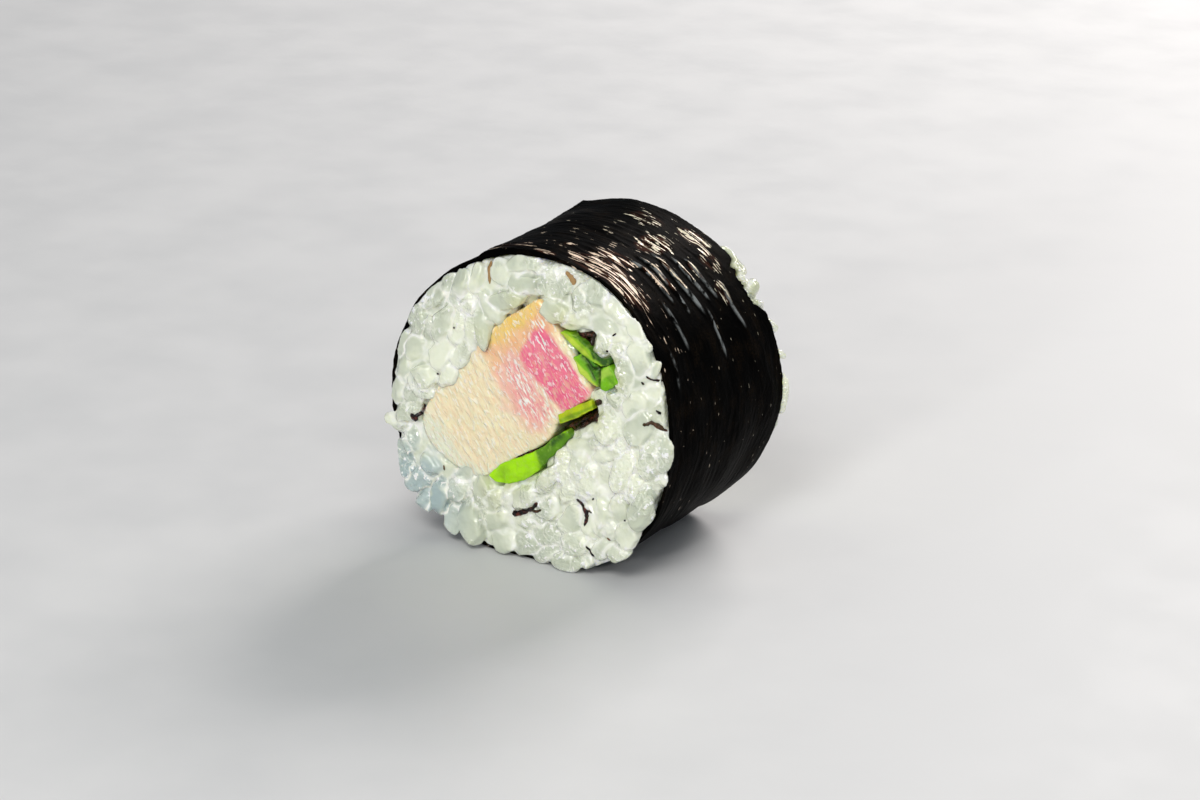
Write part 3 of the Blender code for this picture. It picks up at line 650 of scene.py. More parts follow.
def sheen_of(angle, y):
    """How strongly the nori shines at each point."""
    sheen = angle * 0
    for middle, along, half_angle, half_width, strength in SHEEN_ZONES:
        turn = (np.degrees(angle) - middle + 180) % 360 - 180
        off = np.hypot(turn / half_angle, (y - along) / half_width)
        sheen = np.maximum(sheen, strength * (1 - smooth_step((off - 0.4) / 0.8)))
    return sheen


def fold_of(angle, y):
    """How far the folds lift the sheet at each point."""
    lift = angle * 0
    for place, middle, half_length, height in NORI_FOLDS:
        drift = 0.7 * noise_at(np.stack([angle * 4, angle * 0 + place, angle * 0], 1))
        across = np.exp(-((y - place - drift) / 0.38) ** 2)
        lift = np.maximum(lift, height * across * within(angle, middle, half_length * 0.7, half_length * 0.6))
    return lift


def make_nori(wrap, material):
    """The sheet as one ring-shaped skin that starts and ends at the lap's edge."""
    edge = 0.004
    turn = np.concatenate([np.linspace(0, math.tau - edge, NORI_STEPS - 1), [math.tau - edge / 2]])
    angle = LAP_ANGLE + turn
    arc = turn * 21.0
    near = wrap.near_rim(angle)
    far = wrap.far_rim(angle)
    ragged = noise_at(np.stack([arc * 1.1, arc * 0, arc * 0], 1)) + 0.5 * noise_at(np.stack([arc * 3.1, arc * 0 + 5, arc * 0], 1))
    near = near + 0.16 * ragged
    far = far + (0.16 + 0.5 * notch(angle)) * np.roll(ragged, 211) - notch(angle)

    painted_arc = arc.copy()
    painted_arc[-1] = 0.0

    shares = np.linspace(0, 1, NORI_ROWS)
    points, wraps, sheens, folds = [], [], [], []

    def add_row(y, depth):
        """A row of the skin at y (an array), this deep under the outer side."""
        flat = np.stack([arc, y, arc * 0], 1)
        radius = wrap.radius(angle, y) + NORI_THICKNESS - depth
        lowness = smooth_step((-np.sin(angle) - 0.86) / 0.1)
        if depth < NORI_THICKNESS * 0.7:
            soft = noise_at(flat * (0.16, 0.22, 1)) * 0.30
            bent = flat + np.stack([arc * 0, 0.9 * noise_at(flat * (0.12, 0.16, 1) + 7), arc * 0], 1)
            ridges = 1 - np.abs(noise_at(bent * (0.17, 0.85, 1) + 3)) * 3.2
            fine = noise_at(bent * (0.34, 1.9, 1) + 11)
            relief = soft + (0.13 * ridges + 0.10 * fine) * (0.2 + 0.8 * sheen_of(angle, y))
            lap = lap_thickness(turn, (y - near) / (far - near))
            lap[0] = 0.0
            radius = radius + lap + relief * (1 - 0.85 * lowness) - 0.06 + fold_of(angle, y)
        u, w = np.cos(angle) * radius, np.sin(angle) * radius
        w = np.maximum(w, depth - AXIS_W)
        points.append(np.stack([u, y, w], 1))
        wraps.append(np.stack([painted_arc, y, arc * 0 + depth], 1))
        sheens.append(sheen_of(angle, y))
        folds.append(fold_of(angle, y) / 0.3)

    for share in shares:
        inset = 0.06 * (share == 0) - 0.06 * (share == 1)
        add_row(near + (far - near) * share + inset, 0.10 if share in (0, 1) else 0.0)
    for depth in (0.5, 1.0):
        add_row(far - 0.04 * depth, NORI_THICKNESS * depth)
    for share in (0.75, 0.5, 0.25):
        add_row(near + (far - near) * share, NORI_THICKNESS)
    for depth in (1.0, 0.5):
        add_row(near + 0.04 * depth, NORI_THICKNESS * depth)
    faces = ring_faces(len(points), NORI_STEPS, True)
    make_piece("nori_sheet", np.concatenate(points), faces, material, ["nori"],
               {"wrap": np.concatenate(wraps), "sheen": np.concatenate(sheens), "fold": np.concatenate(folds)})


# ---------------------------------------------------------------- rice
def grain_template(grid):
    """A unit ball of quads, blown up from a cube: points (n, 3) and faces."""
    bm = bmesh.new()
    bmesh.ops.create_cube(bm, size=2.0)
    bmesh.ops.subdivide_edges(bm, edges=bm.edges[:], cuts=grid - 1, use_grid_fill=True)
    points = np.array([v.co for v in bm.verts])
    # Even the spacing out before the points go onto the ball.
    points = np.tan(points * math.pi / 4)
    points /= np.sqrt((points ** 2).sum(1))[:, None]
    faces = np.array([[v.index for v in f.verts] for f in bm.faces])
    bm.free()
    return points, faces


def grain_points(ball, length, width, bend, taper, seed, chance):
    """One grain along X: plump, bent, thinner at one end, and pressed flat here and there."""
    for _ in range(GRAIN_FLATS):
        way = np.array([chance.gauss(0, 1) for _ in range(3)])
        way /= np.sqrt((way ** 2).sum())
        over = np.maximum(ball @ way - chance.uniform(*FLAT_DISTANCE), 0)
        ball = ball - over[:, None] * way
    x, y, z = (np.sign(ball) * np.abs(ball) ** 0.82).T
    girth = (1 - taper * x) * (1.06 - 0.12 * np.abs(x) ** 3)
    lump = 1 + 0.24 * noise_at(ball * 1.8 + seed)
    points = np.stack([x * length / 2, y * width / 2 * girth * lump, z * width / 2 * GRAIN_FLATNESS * girth * lump], 1)
    points[:, 1] += bend * (x * x - 0.4)
    return points


class Cut:
    """One cut end of the rice. side is -1 at the near cut and 1 at the far cut."""

    def __init__(self, side, wrap, outlines, bulges, seed):
        self.side, self.wrap, self.outlines = side, wrap, outlines
        self.bulges = bulges
        self.seen_to = -1.3 if side < 0 else -2.3
        self.chance = random.Random(seed)

    def rim(self, angle):
        return self.wrap.near_rim(angle) if self.side < 0 else self.wrap.far_rim(angle)

    def bulging(self, angle):
        return np.max([within(angle, *bulge) for bulge in self.bulges], axis=0)

    def edge(self, angle):
        """How far out the rice may reach in front of the rim."""
        inner = self.wrap.radius(angle, self.rim(angle))
        return inner + 0.05 + (NORI_THICKNESS + 0.55) * self.bulging(angle)

    def settle(self, grains, fixed, closeness, rounds=160):
        """Pushes lying grains (u, w, direction, length, width, stand) apart, into the ring of rice."""
        g = np.array(grains, float)
        half = (g[:, 3] - g[:, 4]) / 2
        radius = g[:, 4] / 2
        discs = np.array([-1.0, 0.0, 1.0])
        disc_radius = np.repeat(radius, 3)
        owner = np.repeat(np.arange(len(g)), 3)
        other = owner[:, None] != owner[None]
        for _ in range(rounds):
            way = np.stack([np.cos(g[:, 2]), np.sin(g[:, 2])], 1)
            arm = (discs[None, :, None] * half[:, None, None]) * way[:, None]
            centre = (g[:, None, :2] + arm).reshape(-1, 2)
            apart = centre[:, None] - centre[None]
            distance = np.sqrt((apart ** 2).sum(2)) + 1e-6
            overlap = (disc_radius[:, None] + disc_radius[None]) * 0.88 - distance
            overlap = np.where(other & (overlap > 0), overlap, 0)
            push = (apart / distance[..., None] * overlap[..., None]).sum(1) * 0.22
            reach = np.sqrt((centre ** 2).sum(1))
            angle = np.arctan2(centre[:, 1], centre[:, 0])
            beyond = np.maximum(reach + disc_radius * 0.9 - self.edge(angle), 0)
            push -= centre / np.maximum(reach, 1e-6)[:, None] * beyond[:, None] * 0.6
            low = np.maximum(0.2 + disc_radius * 0.9 - AXIS_W - centre[:, 1], 0)
            push[:, 1] += low * 0.6
            for outline in self.outlines:
                away, out = distance_to(outline, centre)
                short = np.maximum(disc_radius * closeness - away, 0)
                push += out * short[:, None] * 0.6
            push = push.reshape(-1, 3, 2)
            free = ~fixed
            g[free, :2] += push.mean(1)[free]
            torque = (arm[..., 0] * push[..., 1] - arm[..., 1] * push[..., 0]).sum(1)
            g[free, 2] += (torque / (2 * half ** 2 + 1.0))[free]
        return g

    def lay_grains(self, count, depth, placed=()):
        """A settled layer of grains, the listed ones first."""
        grains = [(u, w, math.radians(d), length, width, stand + 0.25 * (length - 5) + self.chance.gauss(0, 0.2))
                  for u, w, d, length, width, stand in placed]
        while len(grains) < count:
            angle = self.chance.uniform(0, math.tau)
            reach = 20 * math.sqrt(self.chance.uniform(0.1, 1))
            u, w = math.cos(angle) * reach, math.sin(angle) * reach
            crowded = any(math.hypot(u - g[0], w - g[1]) < 2.1 for g in grains)
            if crowded and self.chance.random() < 0.9:
                continue
            inside = [distance_to(o, np.array([[u, w]]))[0][0] < 0 for o in self.outlines]
            if any(inside):
                continue
            direction = angle + self.chance.gauss(0, 0.9)
            grains.append((u, w, direction, self.chance.uniform(*GRAIN_LENGTH), self.chance.uniform(*GRAIN_WIDTH),
                           self.chance.uniform(-0.35, 0.35) - depth))
        fixed = np.zeros(count, bool)
        fixed[:len(placed)] = True
        return self.settle(grains, fixed, 0.8 if placed else 0.45)

    def grain_mesh(self, layers, ball):
        """Points of the layers' grains, pressed to the cut and to the nori, and a tone for each grain."""
        parts, tones = [], []
        for layer in layers:
            for u, w, direction, length, width, stand in layer:
                bend = self.chance.uniform(-0.25, 0.25)
                taper = self.chance.uniform(-0.12, 0.12)
                points = grain_points(ball, length, width, bend, taper, self.chance.uniform(0, 90), self.chance)
                tilt = self.chance.gauss(0, 0.14)
                roll = self.chance.gauss(0, 0.3)
                x, y, z = points.T
                y, z = y * math.cos(roll) - z * math.sin(roll), y * math.sin(roll) + z * math.cos(roll)
                x, z = x * math.cos(tilt) - z * math.sin(tilt), x * math.sin(tilt) + z * math.cos(tilt)
                du = x * math.cos(direction) - y * math.sin(direction)
                dw = x * math.sin(direction) + y * math.cos(direction)
                broad = noise.noise((u * 0.16, w * 0.16, self.side * 9.0))
                cut = CUT_STAND + 0.5 * broad + self.chance.gauss(0, 0.15) + 0.8 * max(0.0, stand - 0.3)
                cut = cut + self.chance.gauss(0, 0.08) * du + self.chance.gauss(0, 0.08) * dw
                parts.append(self.pressed(u + du, w + dw, stand + z, cut))
                tones.append(np.full(len(points), self.chance.random()))
        return np.concatenate(parts), np.concatenate(tones)

    def stand_of(self, points):
        return (points[:, 1] - self.rim(np.arctan2(points[:, 2], points[:, 0]))) * self.side

    def borders(self, points, layers):
        """How far points lie from the border of the grain they are on, and how deep between grains."""
        stand = self.stand_of(points)
        nearest, second = np.full(len(points), 9.0), np.full(len(points), 9.0)
        for u, w, direction, length, width, middle in np.concatenate(layers):
            du, dw = points[:, 0] - u, points[:, 2] - w
            x = du * math.cos(direction) + dw * math.sin(direction)
            y = dw * math.cos(direction) - du * math.sin(direction)
            z = (stand - middle) / GRAIN_FLATNESS
            reach = (np.sqrt((2 * x / length) ** 2 + (2 * y / width) ** 2 + (2 * z / width) ** 2) - 1) * width / 2
            second = np.minimum(second, np.maximum(nearest, reach))
            nearest = np.minimum(nearest, reach)
        return (second - nearest) / 2, smooth_step((nearest - 0.1) / 0.5)

    def pitted(self, points, pockets, level):
        """Sinks the rice under the pockets to a level."""
        stand = self.stand_of(points)
        for pocket in pockets:
            inside = smooth_step(0.5 - distance_to(pocket, points[:, [0, 2]])[0] / 0.3)
            stand = stand + (np.minimum(stand, level) - stand) * inside
        points[:, 1] = self.rim(np.arctan2(points[:, 2], points[:, 0])) + self.side * stand

    def pressed(self, u, w, stand, cut):
        """Points of a grain as section points, cut flat at their level and kept clear of nori and table."""
        angle = np.arctan2(w, u)
        rim = self.rim(angle)
        reach = np.hypot(u, w)
        inner = self.wrap.radius(angle, rim) - 0.05
        bulging = self.bulging(angle)
        fall = 0.35 + 0.65 * smooth_step((inner - reach) / 2.2)
        cut = cut * (bulging + (1 - bulging) * fall)
        over = stand - cut
        stand = np.where(over > 0, cut + over * 0.12, stand)
        front = smooth_step((stand + (notch(angle) if self.side > 0 else 0)) / 0.35)
        most = inner + (self.edge(angle) - inner) * front
        overhang = 0.5 if self.side < 0 else 0.15
        most = np.where(front >= 1, np.maximum(most, self.edge(angle) + overhang * (reach - self.edge(angle))), most)
        scale = np.minimum(1, most / np.maximum(reach, 1e-6))
        u, w = u * scale, w * scale
        lowest = np.where(stand > 0.2, 0.12, NORI_THICKNESS + 0.1)
        w = np.maximum(w, lowest - AXIS_W)
        return np.stack([u, rim + self.side * stand, w], 1)

    def packed_base(self):
        """The end of the CAD rice under the grains: nearly flat in front, and flat a little way inside."""
        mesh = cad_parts["rice"].data
        points = section_points(mesh)
        angle = np.arctan2(points[:, 2], points[:, 0])
        rim = self.rim(angle)
        stand = (points[:, 1] - rim) * self.side
        edge = self.wrap.radius(angle, rim) - np.hypot(points[:, 0], points[:, 2])
        uneven = BASE_STAND + 0.5 * noise_at(points * 0.3) - 0.5 * (1 - smooth_step(edge / 2.0))
        uneven -= EDGE_SINK * (1 - smooth_step(edge / 1.3)) * (1 - self.bulging(angle))
        stand = np.clip(stand, -RICE_DEPTH, uneven)
        points[:, 1] = rim + self.side * stand
        back = (rim + self.side * stand) * 0 + self.side * (12.7 - RICE_DEPTH)
        points[:, 1] = np.where(stand <= -RICE_DEPTH, back, points[:, 1])
        reach = np.hypot(points[:, 0], points[:, 2])
        most = self.wrap.radius(angle, points[:, 1]) - 0.1
        scale = np.minimum(1, (most - 0.3 * (stand >= 0.1)) / reach)
        points[:, 0] *= scale
        points[:, 2] *= scale
        return points, [tuple(p.vertices) for p in mesh.polygons]


def section_points(mesh):
    co = np.zeros(len(mesh.vertices) * 3)
    mesh.vertices.foreach_get("co", co)
    return co.reshape(-1, 3) / MM - (AXIS_U, 0, AXIS_W)


def modified(mesh, kind, hidden=None, **settings):
    """A new mesh that a modifier makes out of this one, which it uses up."""
    source = bpy.data.objects.new("source", mesh)
    bpy.context.scene.collection.objects.link(source)
    modifier = source.modifiers.new("change", kind)
    if hidden is not None:
        source.vertex_groups.new(name="hidden").add(hidden.tolist(), 1.0, "REPLACE")
        modifier.vertex_group = "hidden"
    for key, value in settings.items():
        setattr(modifier, key, value)
    bpy.context.view_layer.update()
    made = bpy.data.meshes.new_from_object(source.evaluated_get(bpy.context.evaluated_depsgraph_get()))
    bpy.data.objects.remove(source)
    bpy.data.meshes.remove(mesh)
    return made


def fused(points, faces, voxel, smoothing, in_sight):
    """One even skin round everything in a mesh of section points, thinned out where it isn't in sight."""
    mesh = bpy.data.meshes.new("source")
    mesh.from_pydata(to_world(points).tolist(), [], faces)
    mesh = modified(mesh, "REMESH", mode="VOXEL", voxel_size=voxel * MM)
    bm = bmesh.new()
    bm.from_mesh(mesh)
    for _ in range(smoothing):
        bmesh.ops.smooth_vert(bm, verts=bm.verts, factor=0.5, use_axis_x=True, use_axis_y=True, use_axis_z=True)
    bm.to_mesh(mesh)
    bm.free()
    seen = in_sight(section_points(mesh))
    share = seen.mean() + THINNING * (1 - seen.mean())
    mesh = modified(mesh, "DECIMATE", np.flatnonzero(~seen), ratio=share)
    points = section_points(mesh)
    faces = [tuple(p.vertices) for p in mesh.polygons]
    bpy.data.meshes.remove(mesh)
    return points, faces


def nearest_of(points, sources):
    """For each point the indices of the three nearest source points."""
    tree = kdtree.KDTree(len(sources))
    for index, source in enumerate(sources.tolist()):
        tree.insert(source, index)
    tree.balance()
    return np.array([[found[1] for found in tree.find_n(point, 3)] for point in points.tolist()])


def make_rice(wrap, outlines, pockets, material):
    """Two layers of grains at each cut, pressed together into one mass, and a plain core between them."""
    ball, quads = grain_template(GRAIN_GRID)
    near = Cut(-1, wrap, outlines, NEAR_BULGES, 21)
    far = Cut(1, wrap, outlines, FAR_BULGES, 22)
    for cut, name, placed, voxel in ((near, "rice_near", NEAR_GRAINS, RICE_VOXELS[0]),
                                     (far, "rice_far", (), RICE_VOXELS[1])):
        layers = [cut.lay_grains(LAYER_COUNTS[0], LAYER_DEPTHS[0], placed),
                  cut.lay_grains(LAYER_COUNTS[1], LAYER_DEPTHS[1])]
        grains, tones = cut.grain_mesh(layers, ball)
        count = len(grains) // len(ball)
        faces = (quads[None] + (np.arange(count) * len(ball))[:, None, None]).reshape(-1, 4).tolist()
        base, base_faces = cut.packed_base()
        faces += [[len(grains) + v for v in face] for face in base_faces]
        points, skin = fused(np.concatenate([grains, base]), faces, voxel, RICE_SMOOTHING,
                             lambda points, cut=cut: cut.stand_of(points) > cut.seen_to)
        tone = tones[nearest_of(points, grains)].mean(1)
        drift = np.stack([noise_at(points * 0.8 + 11), points[:, 1] * 0, noise_at(points * 0.8 + 23)], 1)
        border, hollow = cut.borders(points + 0.6 * drift, layers)
        groove = 0.13 * np.exp(-(border / 0.13) ** 2) * (1 - hollow) * smooth_step(cut.stand_of(points) - 0.3)
        starch = 0.04 * noise_at(points * 0.9) + 0.035 * noise_at(points * 2.3)
        points[:, 1] += cut.side * (starch - groove)
        if cut is near:
            cut.pitted(points, pockets, -1.2)
            cut.pitted(points, [np.array(FISH_TIP)], 0.2)
        # Painted cool shade: bluer and darker rice towards the lower left.
        away = np.hypot(points[:, 0] + 16.5, points[:, 2] + 13.5)
        cool = smooth_step(1.25 - away / 8.5) * (1 - 0.3 * tone)
        # Positive strengths make milkier rice; negative ones paint shade, clearer and darker rice along the rim.
        for u, w, radius, strength in MILKY_AND_SHADED_ZONES:
            tone = tone + strength * np.exp(-((points[:, 0] - u) ** 2 + (points[:, 2] - w) ** 2) / radius ** 2)
        beside = np.min([distance_to(outline, points[:, [0, 2]])[0] for outline in outlines[1:5]], axis=0)
        juice = np.exp(-np.maximum(beside, 0) / 0.8)
        for u, w, radius, strength in JUICY_ZONES[cut is far]:
            juice = juice + strength * np.exp(-((points[:, 0] - u) ** 2 + (points[:, 2] - w) ** 2) / radius ** 2)
        make_piece(name, points, skin, material, ["rice"],
                   {"grain_tone": tone, "grain_border": border, "grain_hollow_shade": hollow, "grain_cool_shade": cool,
                    "grain_juice": juice})
    make_core(wrap, material)


def make_core(wrap, material):
    """A plain core of rice between the two modelled ends, wholly inside the nori."""
    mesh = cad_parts["rice"].data
    points = section_points(mesh)
    points[:, 1] = np.clip(points[:, 1], RICE_DEPTH - 13, 13 - RICE_DEPTH)
    angle = np.arctan2(points[:, 2], points[:, 0])
    reach = np.hypot(points[:, 0], points[:, 2])
    scale = np.minimum(1, (wrap.radius(angle, points[:, 1]) - 0.12) / reach)
    points[:, 0] *= scale
    points[:, 2] *= scale
    faces = [tuple(p.vertices) for p in mesh.polygons]
    make_piece("rice_core", points, faces, material, ["rice"],
               {"grain_tone": points[:, 0] * 0 + 0.5, "grain_border": points[:, 0] * 0 + 1})


# ---------------------------------------------------------------- fillings
def near_an_end(points):
    return np.abs(points[:, 1]) > 11.5


def end_share(points, depth):
    """1 on the two cuts of a filling and 0 this deep inside, with the side that each point is nearer to."""
    low, high = points[:, 1].min(), points[:, 1].max()
    middle = (low + high) / 2
    inside = (high - low) / 2 - np.abs(points[:, 1] - middle)
    return smooth_step(1 - inside / depth), np.sign(points[:, 1] - middle)


def painted(points, ground, zones, wander, seed):
    """The colour of each point: the zones' colours over the ground. The softer a border, the more it wanders."""
    colour = np.tile(ground, (len(points), 1))
    flat = points[:, [0, 2]]
    drift = wander * noise_at(points * (0.5, 0.1, 0.5) + seed) + 0.5 * wander * noise_at(points * (1.5, 0.2, 1.5) + seed)
    for outline, fade, tint in zones:
        distance = distance_to(np.array(outline), flat)[0] + drift * fade
        share = smooth_step(0.5 - distance / (2 * fade))[:, None]
        colour = colour * (1 - share) + np.array(tint) * share
    return colour


def fatten(points, outline, amount, downward=0.0):
    """Moves the sides of the fish out by this much, those that face down to the right by more, and not its tip."""
    distance, out = distance_to(outline, points[:, [0, 2]])
    facing = np.clip(out[:, 0] * 0.6 - out[:, 1] * 0.8, 0, 1)
    push = (amount + downward * facing) * smooth_step(1 + distance / 1.5) * smooth_step((15 - points[:, 2]) / 3)
    points[:, [0, 2]] += out * push[:, None]


def make_fish(material, outline):
    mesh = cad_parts["fish"].data
    points, faces = fused(section_points(mesh), [tuple(p.vertices) for p in mesh.polygons], 0.18, 3, near_an_end)
    fatten(points, outline, 0.3, 0.25)
    colour = painted(points, FISH_BEIGE, FISH_ZONES, 1.0, 3)
    pink = smooth_step(0.5 - distance_to(np.array(FISH_ZONES[-1][0]), points[:, [0, 2]])[0] / 1.2)
    blotch = smooth_step((noise_at(points * (0.55, 0.1, 0.55) + 31) - 0.08) / 0.3) * pink * 0.6
    colour = colour * (1 - blotch[:, None]) + np.array(FISH_MAGENTA_MOTTLE_AND_SHADE) * blotch[:, None]
    share, side = end_share(points, 0.5)
    turn = math.radians(FIBRE_DIRECTION)
    along = points[:, 0] * math.cos(turn) + points[:, 2] * math.sin(turn)
    across = points[:, 0] * math.sin(turn) - points[:, 2] * math.cos(turn)
    fibre = noise_at(np.stack([across * 1.6, along * 0.4, side * 9], 1))
    swell = noise_at(np.stack([points[:, 0] * 0.22, points[:, 2] * 0.22, side * 5 + 3], 1))
    points[:, 1] += side * share * (0.16 * fibre + 0.22 * swell)
    streaky = np.max([smooth_step(0.5 - distance_to(np.array(zone), points[:, [0, 2]])[0] / 2)
                      for zone in STREAK_ZONES], axis=0)
    make_piece("fish_stick", points, faces, material, ["fish"], {"flesh": colour, "streaky": streaky})


def make_blade(node, outline, material, voxel, ground, zones, creases=()):
    """A blade through the whole roll, with dark and light zones, and creases pressed into its two cuts and darkened
    with painted shade.
    """
    low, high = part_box(node)
    count = len(outline)
    bar = [(u, end.y / MM, w) for end in (low, high) for u, w in outline]
    sides = [[k, (k + 1) % count, count + (k + 1) % count, count + k] for k in range(count)]
    caps = [list(range(count - 1, -1, -1)), list(range(count, 2 * count))]
    points, faces = fused(np.array(bar), sides + caps, voxel, 2, near_an_end)
    points[:, [0, 2]] += 0.10 * np.stack([noise_at(points * (1.3, 0.15, 1.3) + 5), noise_at(points * (1.3, 0.15, 1.3))], 1)
    colour = painted(points, ground, zones, 1.2, 8)
    share, side = end_share(points, 0.9)
    wave = noise_at(np.stack([points[:, 0] * 0.7, points[:, 2] * 0.7, side * 6 + 1], 1))
    groove = np.zeros(len(points))
    for line in creases:
        there_and_back = np.array(line + line[-2:0:-1])
        near = np.abs(distance_to(there_and_back, points[:, [0, 2]])[0])
        groove = np.maximum(groove, np.exp(-(near / 0.22) ** 2))
    points[:, 1] += side * share * (0.3 * wave - 0.35 * groove)
    # Painted shade in the creases.
    colour = colour * (1 - 0.9 * (groove * share)[:, None])
    make_piece(node + "_blade", points, faces, material, [node], {"flesh": colour})


def flake(line, chance):
    """A thin crumb along a line of (u, w, width): rings of eight points round it, as u, depth, w."""
    steps = 4 * (len(line) - 1) + 1
    place = np.linspace(0, len(line) - 1, steps)
    u, w, width = (np.interp(place, np.arange(len(line)), [p[k] for p in line]) for k in range(3))
    width *= 0.7 + 0.6 * np.array([chance.random() for _ in range(steps)])
    width[[0, -1]] *= 0.25
    ahead = np.stack([np.gradient(u), np.gradient(w)], 1)
    ahead /= np.sqrt((ahead ** 2).sum(1))[:, None]
    turn = np.arange(8) * math.tau / 8
    out = np.cos(turn)[None] * width[:, None] / 2
    depth = np.sin(turn)[None] * np.minimum(width, 0.3)[:, None] / 2
    return np.stack([u[:, None] - ahead[:, 1:] * out, depth, w[:, None] + ahead[:, :1] * out], 2).reshape(-1, 3)


def make_crumbs(material):
    """Crumbs of nori that lie on the near cut, each on the grains under it."""
    bm = bmesh.new()
    for name in ("rice_near", "fish_stick", "scallion_leaf_blade"):
        bm.from_mesh(bpy.data.objects[name].data)
    tree = BVHTree.FromBMesh(bm)
    bm.free()
    chance = random.Random(5)
    points, faces, pale = [], [], []
    for pale_share, line in CRUMBS:
        body = flake(line, chance)
        rings = body.reshape(-1, 8, 3)
        for ring in rings:
            middle = ring.mean(0)
            start = Vector(to_world(np.array([middle[0], -40.0, middle[2]])))
            found = tree.ray_cast(start, Vector((0, 1, 0)))[0]
            deepest = NEAR_RIM + CRUMB_DEPTH
            ring[:, 1] += min(found.y / MM, deepest) if found else deepest
        base = sum(len(p) for p in points)
        faces += [[base + v for v in f] for f in ring_faces(len(rings), 8, False)]
        faces += [[base + 7 - v for v in range(8)], [base + len(body) - 8 + v for v in range(8)]]
        points.append(body)
        pale.append(np.full(len(body), pale_share))
    make_piece("nori_crumbs", np.concatenate(points), faces, material, None, {"pale": np.concatenate(pale)})


def make_plugs(wrap, material):
    """Dark, wet scraps deep in the hollows beside the scallion, partly nori and partly painted shade, and dark green
    ones that are painted shade between the blades.
    """
    points, faces, green = [], [], []
    for index, pocket in enumerate(POCKETS + GREEN_SHADE_POCKETS):
        outline = np.array(pocket)
        middle = outline.mean(0)
        steps = 24
        share = np.linspace(0, len(outline), steps, endpoint=False)
        closed = np.vstack([outline, outline[:1]])
        rim = np.stack([np.interp(share, np.arange(len(closed)), closed[:, k]) for k in range(2)], 1)
        base = sum(len(p) for p in points)
        for scale, depth in ((1.3, 2.2), (1.25, 0.3), (0.8, -0.25), (0.3, -0.3)):
            ring = middle + (rim - middle) * scale
            y = wrap.near_rim(np.arctan2(ring[:, 1], ring[:, 0])) + depth
            wave = 0.3 * noise_at(np.stack([ring[:, 0], ring[:, 1], y * 0], 1) * 1.3)
            points.append(np.stack([ring[:, 0], y + wave, ring[:, 1]], 1))
            green.append(np.full(steps, float(index >= len(POCKETS))))
        faces += [[base + v for v in f] for f in ring_faces(4, steps, False)]
        faces += [[base + steps - 1 - v for v in range(steps)], [base + 3 * steps + v for v in range(steps)]]
    points = np.concatenate(points)
    make_piece("nori_scraps", points, faces, material, None,
               {"pale": points[:, 0] * 0 + 0.03, "green": np.concatenate(green)})


# ---------------------------------------------------------------- camera, light and floor
def make_camera():
    """The camera looks at the near cut from its right and from above."""
    azimuth, elevation = math.radians(33.0), math.radians(19.5)
    distance = 0.4
    rim = -13.0
    target = Vector((10.6 + AXIS_U, rim, 3.73 + AXIS_W)) * MM
    ahead = Vector((-math.sin(azimuth) * math.cos(elevation), math.cos(azimuth) * math.cos(elevation), -math.sin(elevation)))
    data = bpy.data.cameras.new("camera")
    data.lens = 98.7
    data.sensor_width = 36
    data.clip_start = 0.01
    camera = bpy.data.objects.new("camera", data)
    camera.location = target - ahead * distance
    camera.rotation_euler = ahead.to_track_quat("-Z", "Y").to_euler()
    bpy.context.scene.collection.objects.link(camera)
    bpy.context.scene.camera = camera


def add_light(name, place, target, size, power, colour):
    data = bpy.data.lights.new(name, "AREA")
    data.shape = "RECTANGLE"
    data.size, data.size_y = size
    data.energy = power
    data.color = colour
    light = bpy.data.objects.new(name, data)
    light.location = place
    light.rotation_euler = (Vector(target) - Vector(place)).to_track_quat("-Z", "Y").to_euler()
    bpy.context.scene.collection.objects.link(light)


def make_stage():
    bpy.ops.mesh.primitive_plane_add(size=6)
    floor = bpy.context.object
    floor.name = "floor"
    floor.data.materials.append(floor_material())
    world = bpy.data.worlds.new("studio")
    world.use_nodes = True
    world.node_tree.nodes["Background"].inputs["Color"].default_value = (0.82, 0.91, 1.0, 1.0)
    world.node_tree.nodes["Background"].inputs["Strength"].default_value = 0.22
    bpy.context.scene.world = world
    bpy.context.scene.view_settings.view_transform = "Standard"
    middle = (0, 0, 0.02)
    add_light("key", (0.16, -0.54, 0.56), middle, (0.30, 0.30), 2.7, (1.0, 0.98, 0.93))
    add_light("front", (0.06, -0.75, 0.22), middle, (0.07, 0.05), 1.2, (1.0, 0.99, 0.96))
    add_light("back", (0.02, 0.60, 0.42), middle, (0.44, 0.22), 4.6, (1.0, 0.94, 0.90))
    add_light("side", (0.45, -0.45, 0.40), middle, (0.25, 0.25), 0.7, (1.0, 1.0, 1.0))
    add_light("spark", (-0.30, -0.62, 0.45), middle, (0.05, 0.05), 0.2, (1.0, 1.0, 1.0))


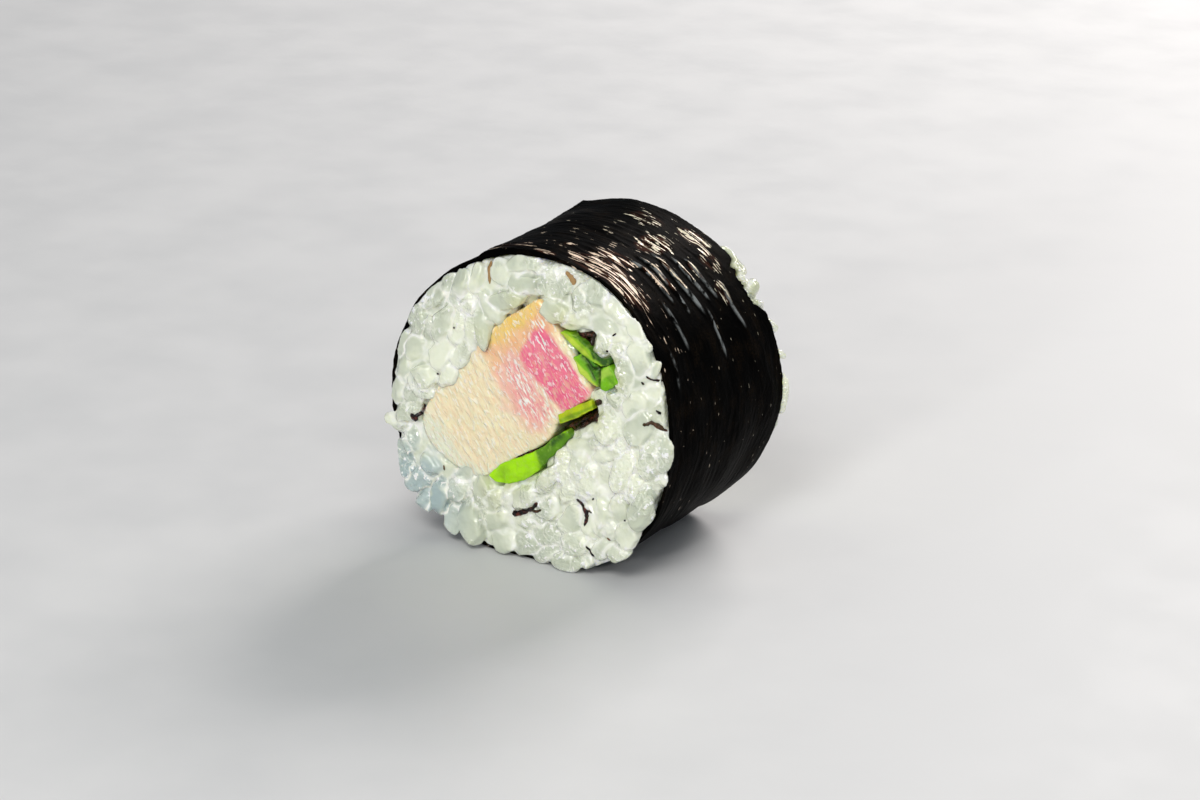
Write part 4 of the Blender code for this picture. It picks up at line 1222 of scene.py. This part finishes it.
# ---------------------------------------------------------------- the roll
wrap_shape = Wrap()
filling_outlines = [section_outline("fish")] + [np.array(outline) for outline in BLADES.values()]
pocket_outlines = [np.array(pocket) for pocket in POCKETS + GREEN_SHADE_POCKETS]
make_nori(wrap_shape, nori_material())
make_rice(wrap_shape, filling_outlines + pocket_outlines, pocket_outlines, rice_material())
make_fish(fish_material(), filling_outlines[0])
green = leaf_material()
make_blade("scallion_tip", BLADES["scallion_tip"], green, 0.11, (0.30, 0.56, 0.02), (
    # Dark green on the tip's right part: partly its own colour and partly painted shade.
    (((9.2, 12.0), (13.5, 11.0), (13.5, 8.0), (10.2, 9.2)), 0.2, (0.03, 0.10, 0.012)),
    (((7.0, 12.4), (9.6, 11.6), (10.4, 9.9), (9.4, 10.5), (7.6, 11.5)), 0.15, (0.07, 0.19, 0.012)),
    (((5.0, 12.0), (8.6, 9.8), (9.9, 9.2), (9.2, 10.2), (6.4, 11.8)), 0.15, (0.55, 0.70, 0.06)),
))
make_blade("scallion_fold", BLADES["scallion_fold"], green, 0.12, (0.20, 0.52, 0.012), (
    (((7.6, 8.8), (8.2, 6.8), (10.8, 5.2), (11.0, 5.9), (9.0, 7.5)), 0.15, (0.52, 0.68, 0.08)),
    (((8.8, 9.4), (10.0, 9.4), (11.2, 8.0), (10.8, 6.8), (10.2, 7.6)), 0.2, (0.06, 0.22, 0.010)),
    (((11.4, 7.8), (12.4, 8.8), (13.4, 7.8), (12.0, 7.2), (11.4, 6.4)), 0.15, (0.42, 0.68, 0.08)),
), (((8.7, 9.2), (10.3, 8.0), (11.4, 8.3)), ((11.2, 8.1), (11.1, 5.6)), ((9.4, 8.2), (10.6, 6.6))))
make_blade("scallion_stalk", BLADES["scallion_stalk"], green, 0.11, (0.50, 0.62, 0.012), (
    (((5.4, 0.5), (10.2, 3.3), (10.3, 2.9), (5.6, 0.1)), 0.12, (0.26, 0.42, 0.01)),
))
make_blade("scallion_leaf", BLADES["scallion_leaf"], green, 0.14, (0.40, 0.80, 0.008), (
    (((1.2, -3.4), (2.6, -7.2), (8.0, -2.0), (7.2, -0.2)), 0.45, (0.12, 0.30, 0.012)),
    (((3.6, -3.2), (5.2, -1.4), (7.2, -0.4), (6.0, -1.6), (4.4, -3.2)), 0.25, (0.04, 0.12, 0.01)),
))
scrap = crumb_material()
make_crumbs(scrap)
make_plugs(wrap_shape, scrap)
make_stage()
make_camera()
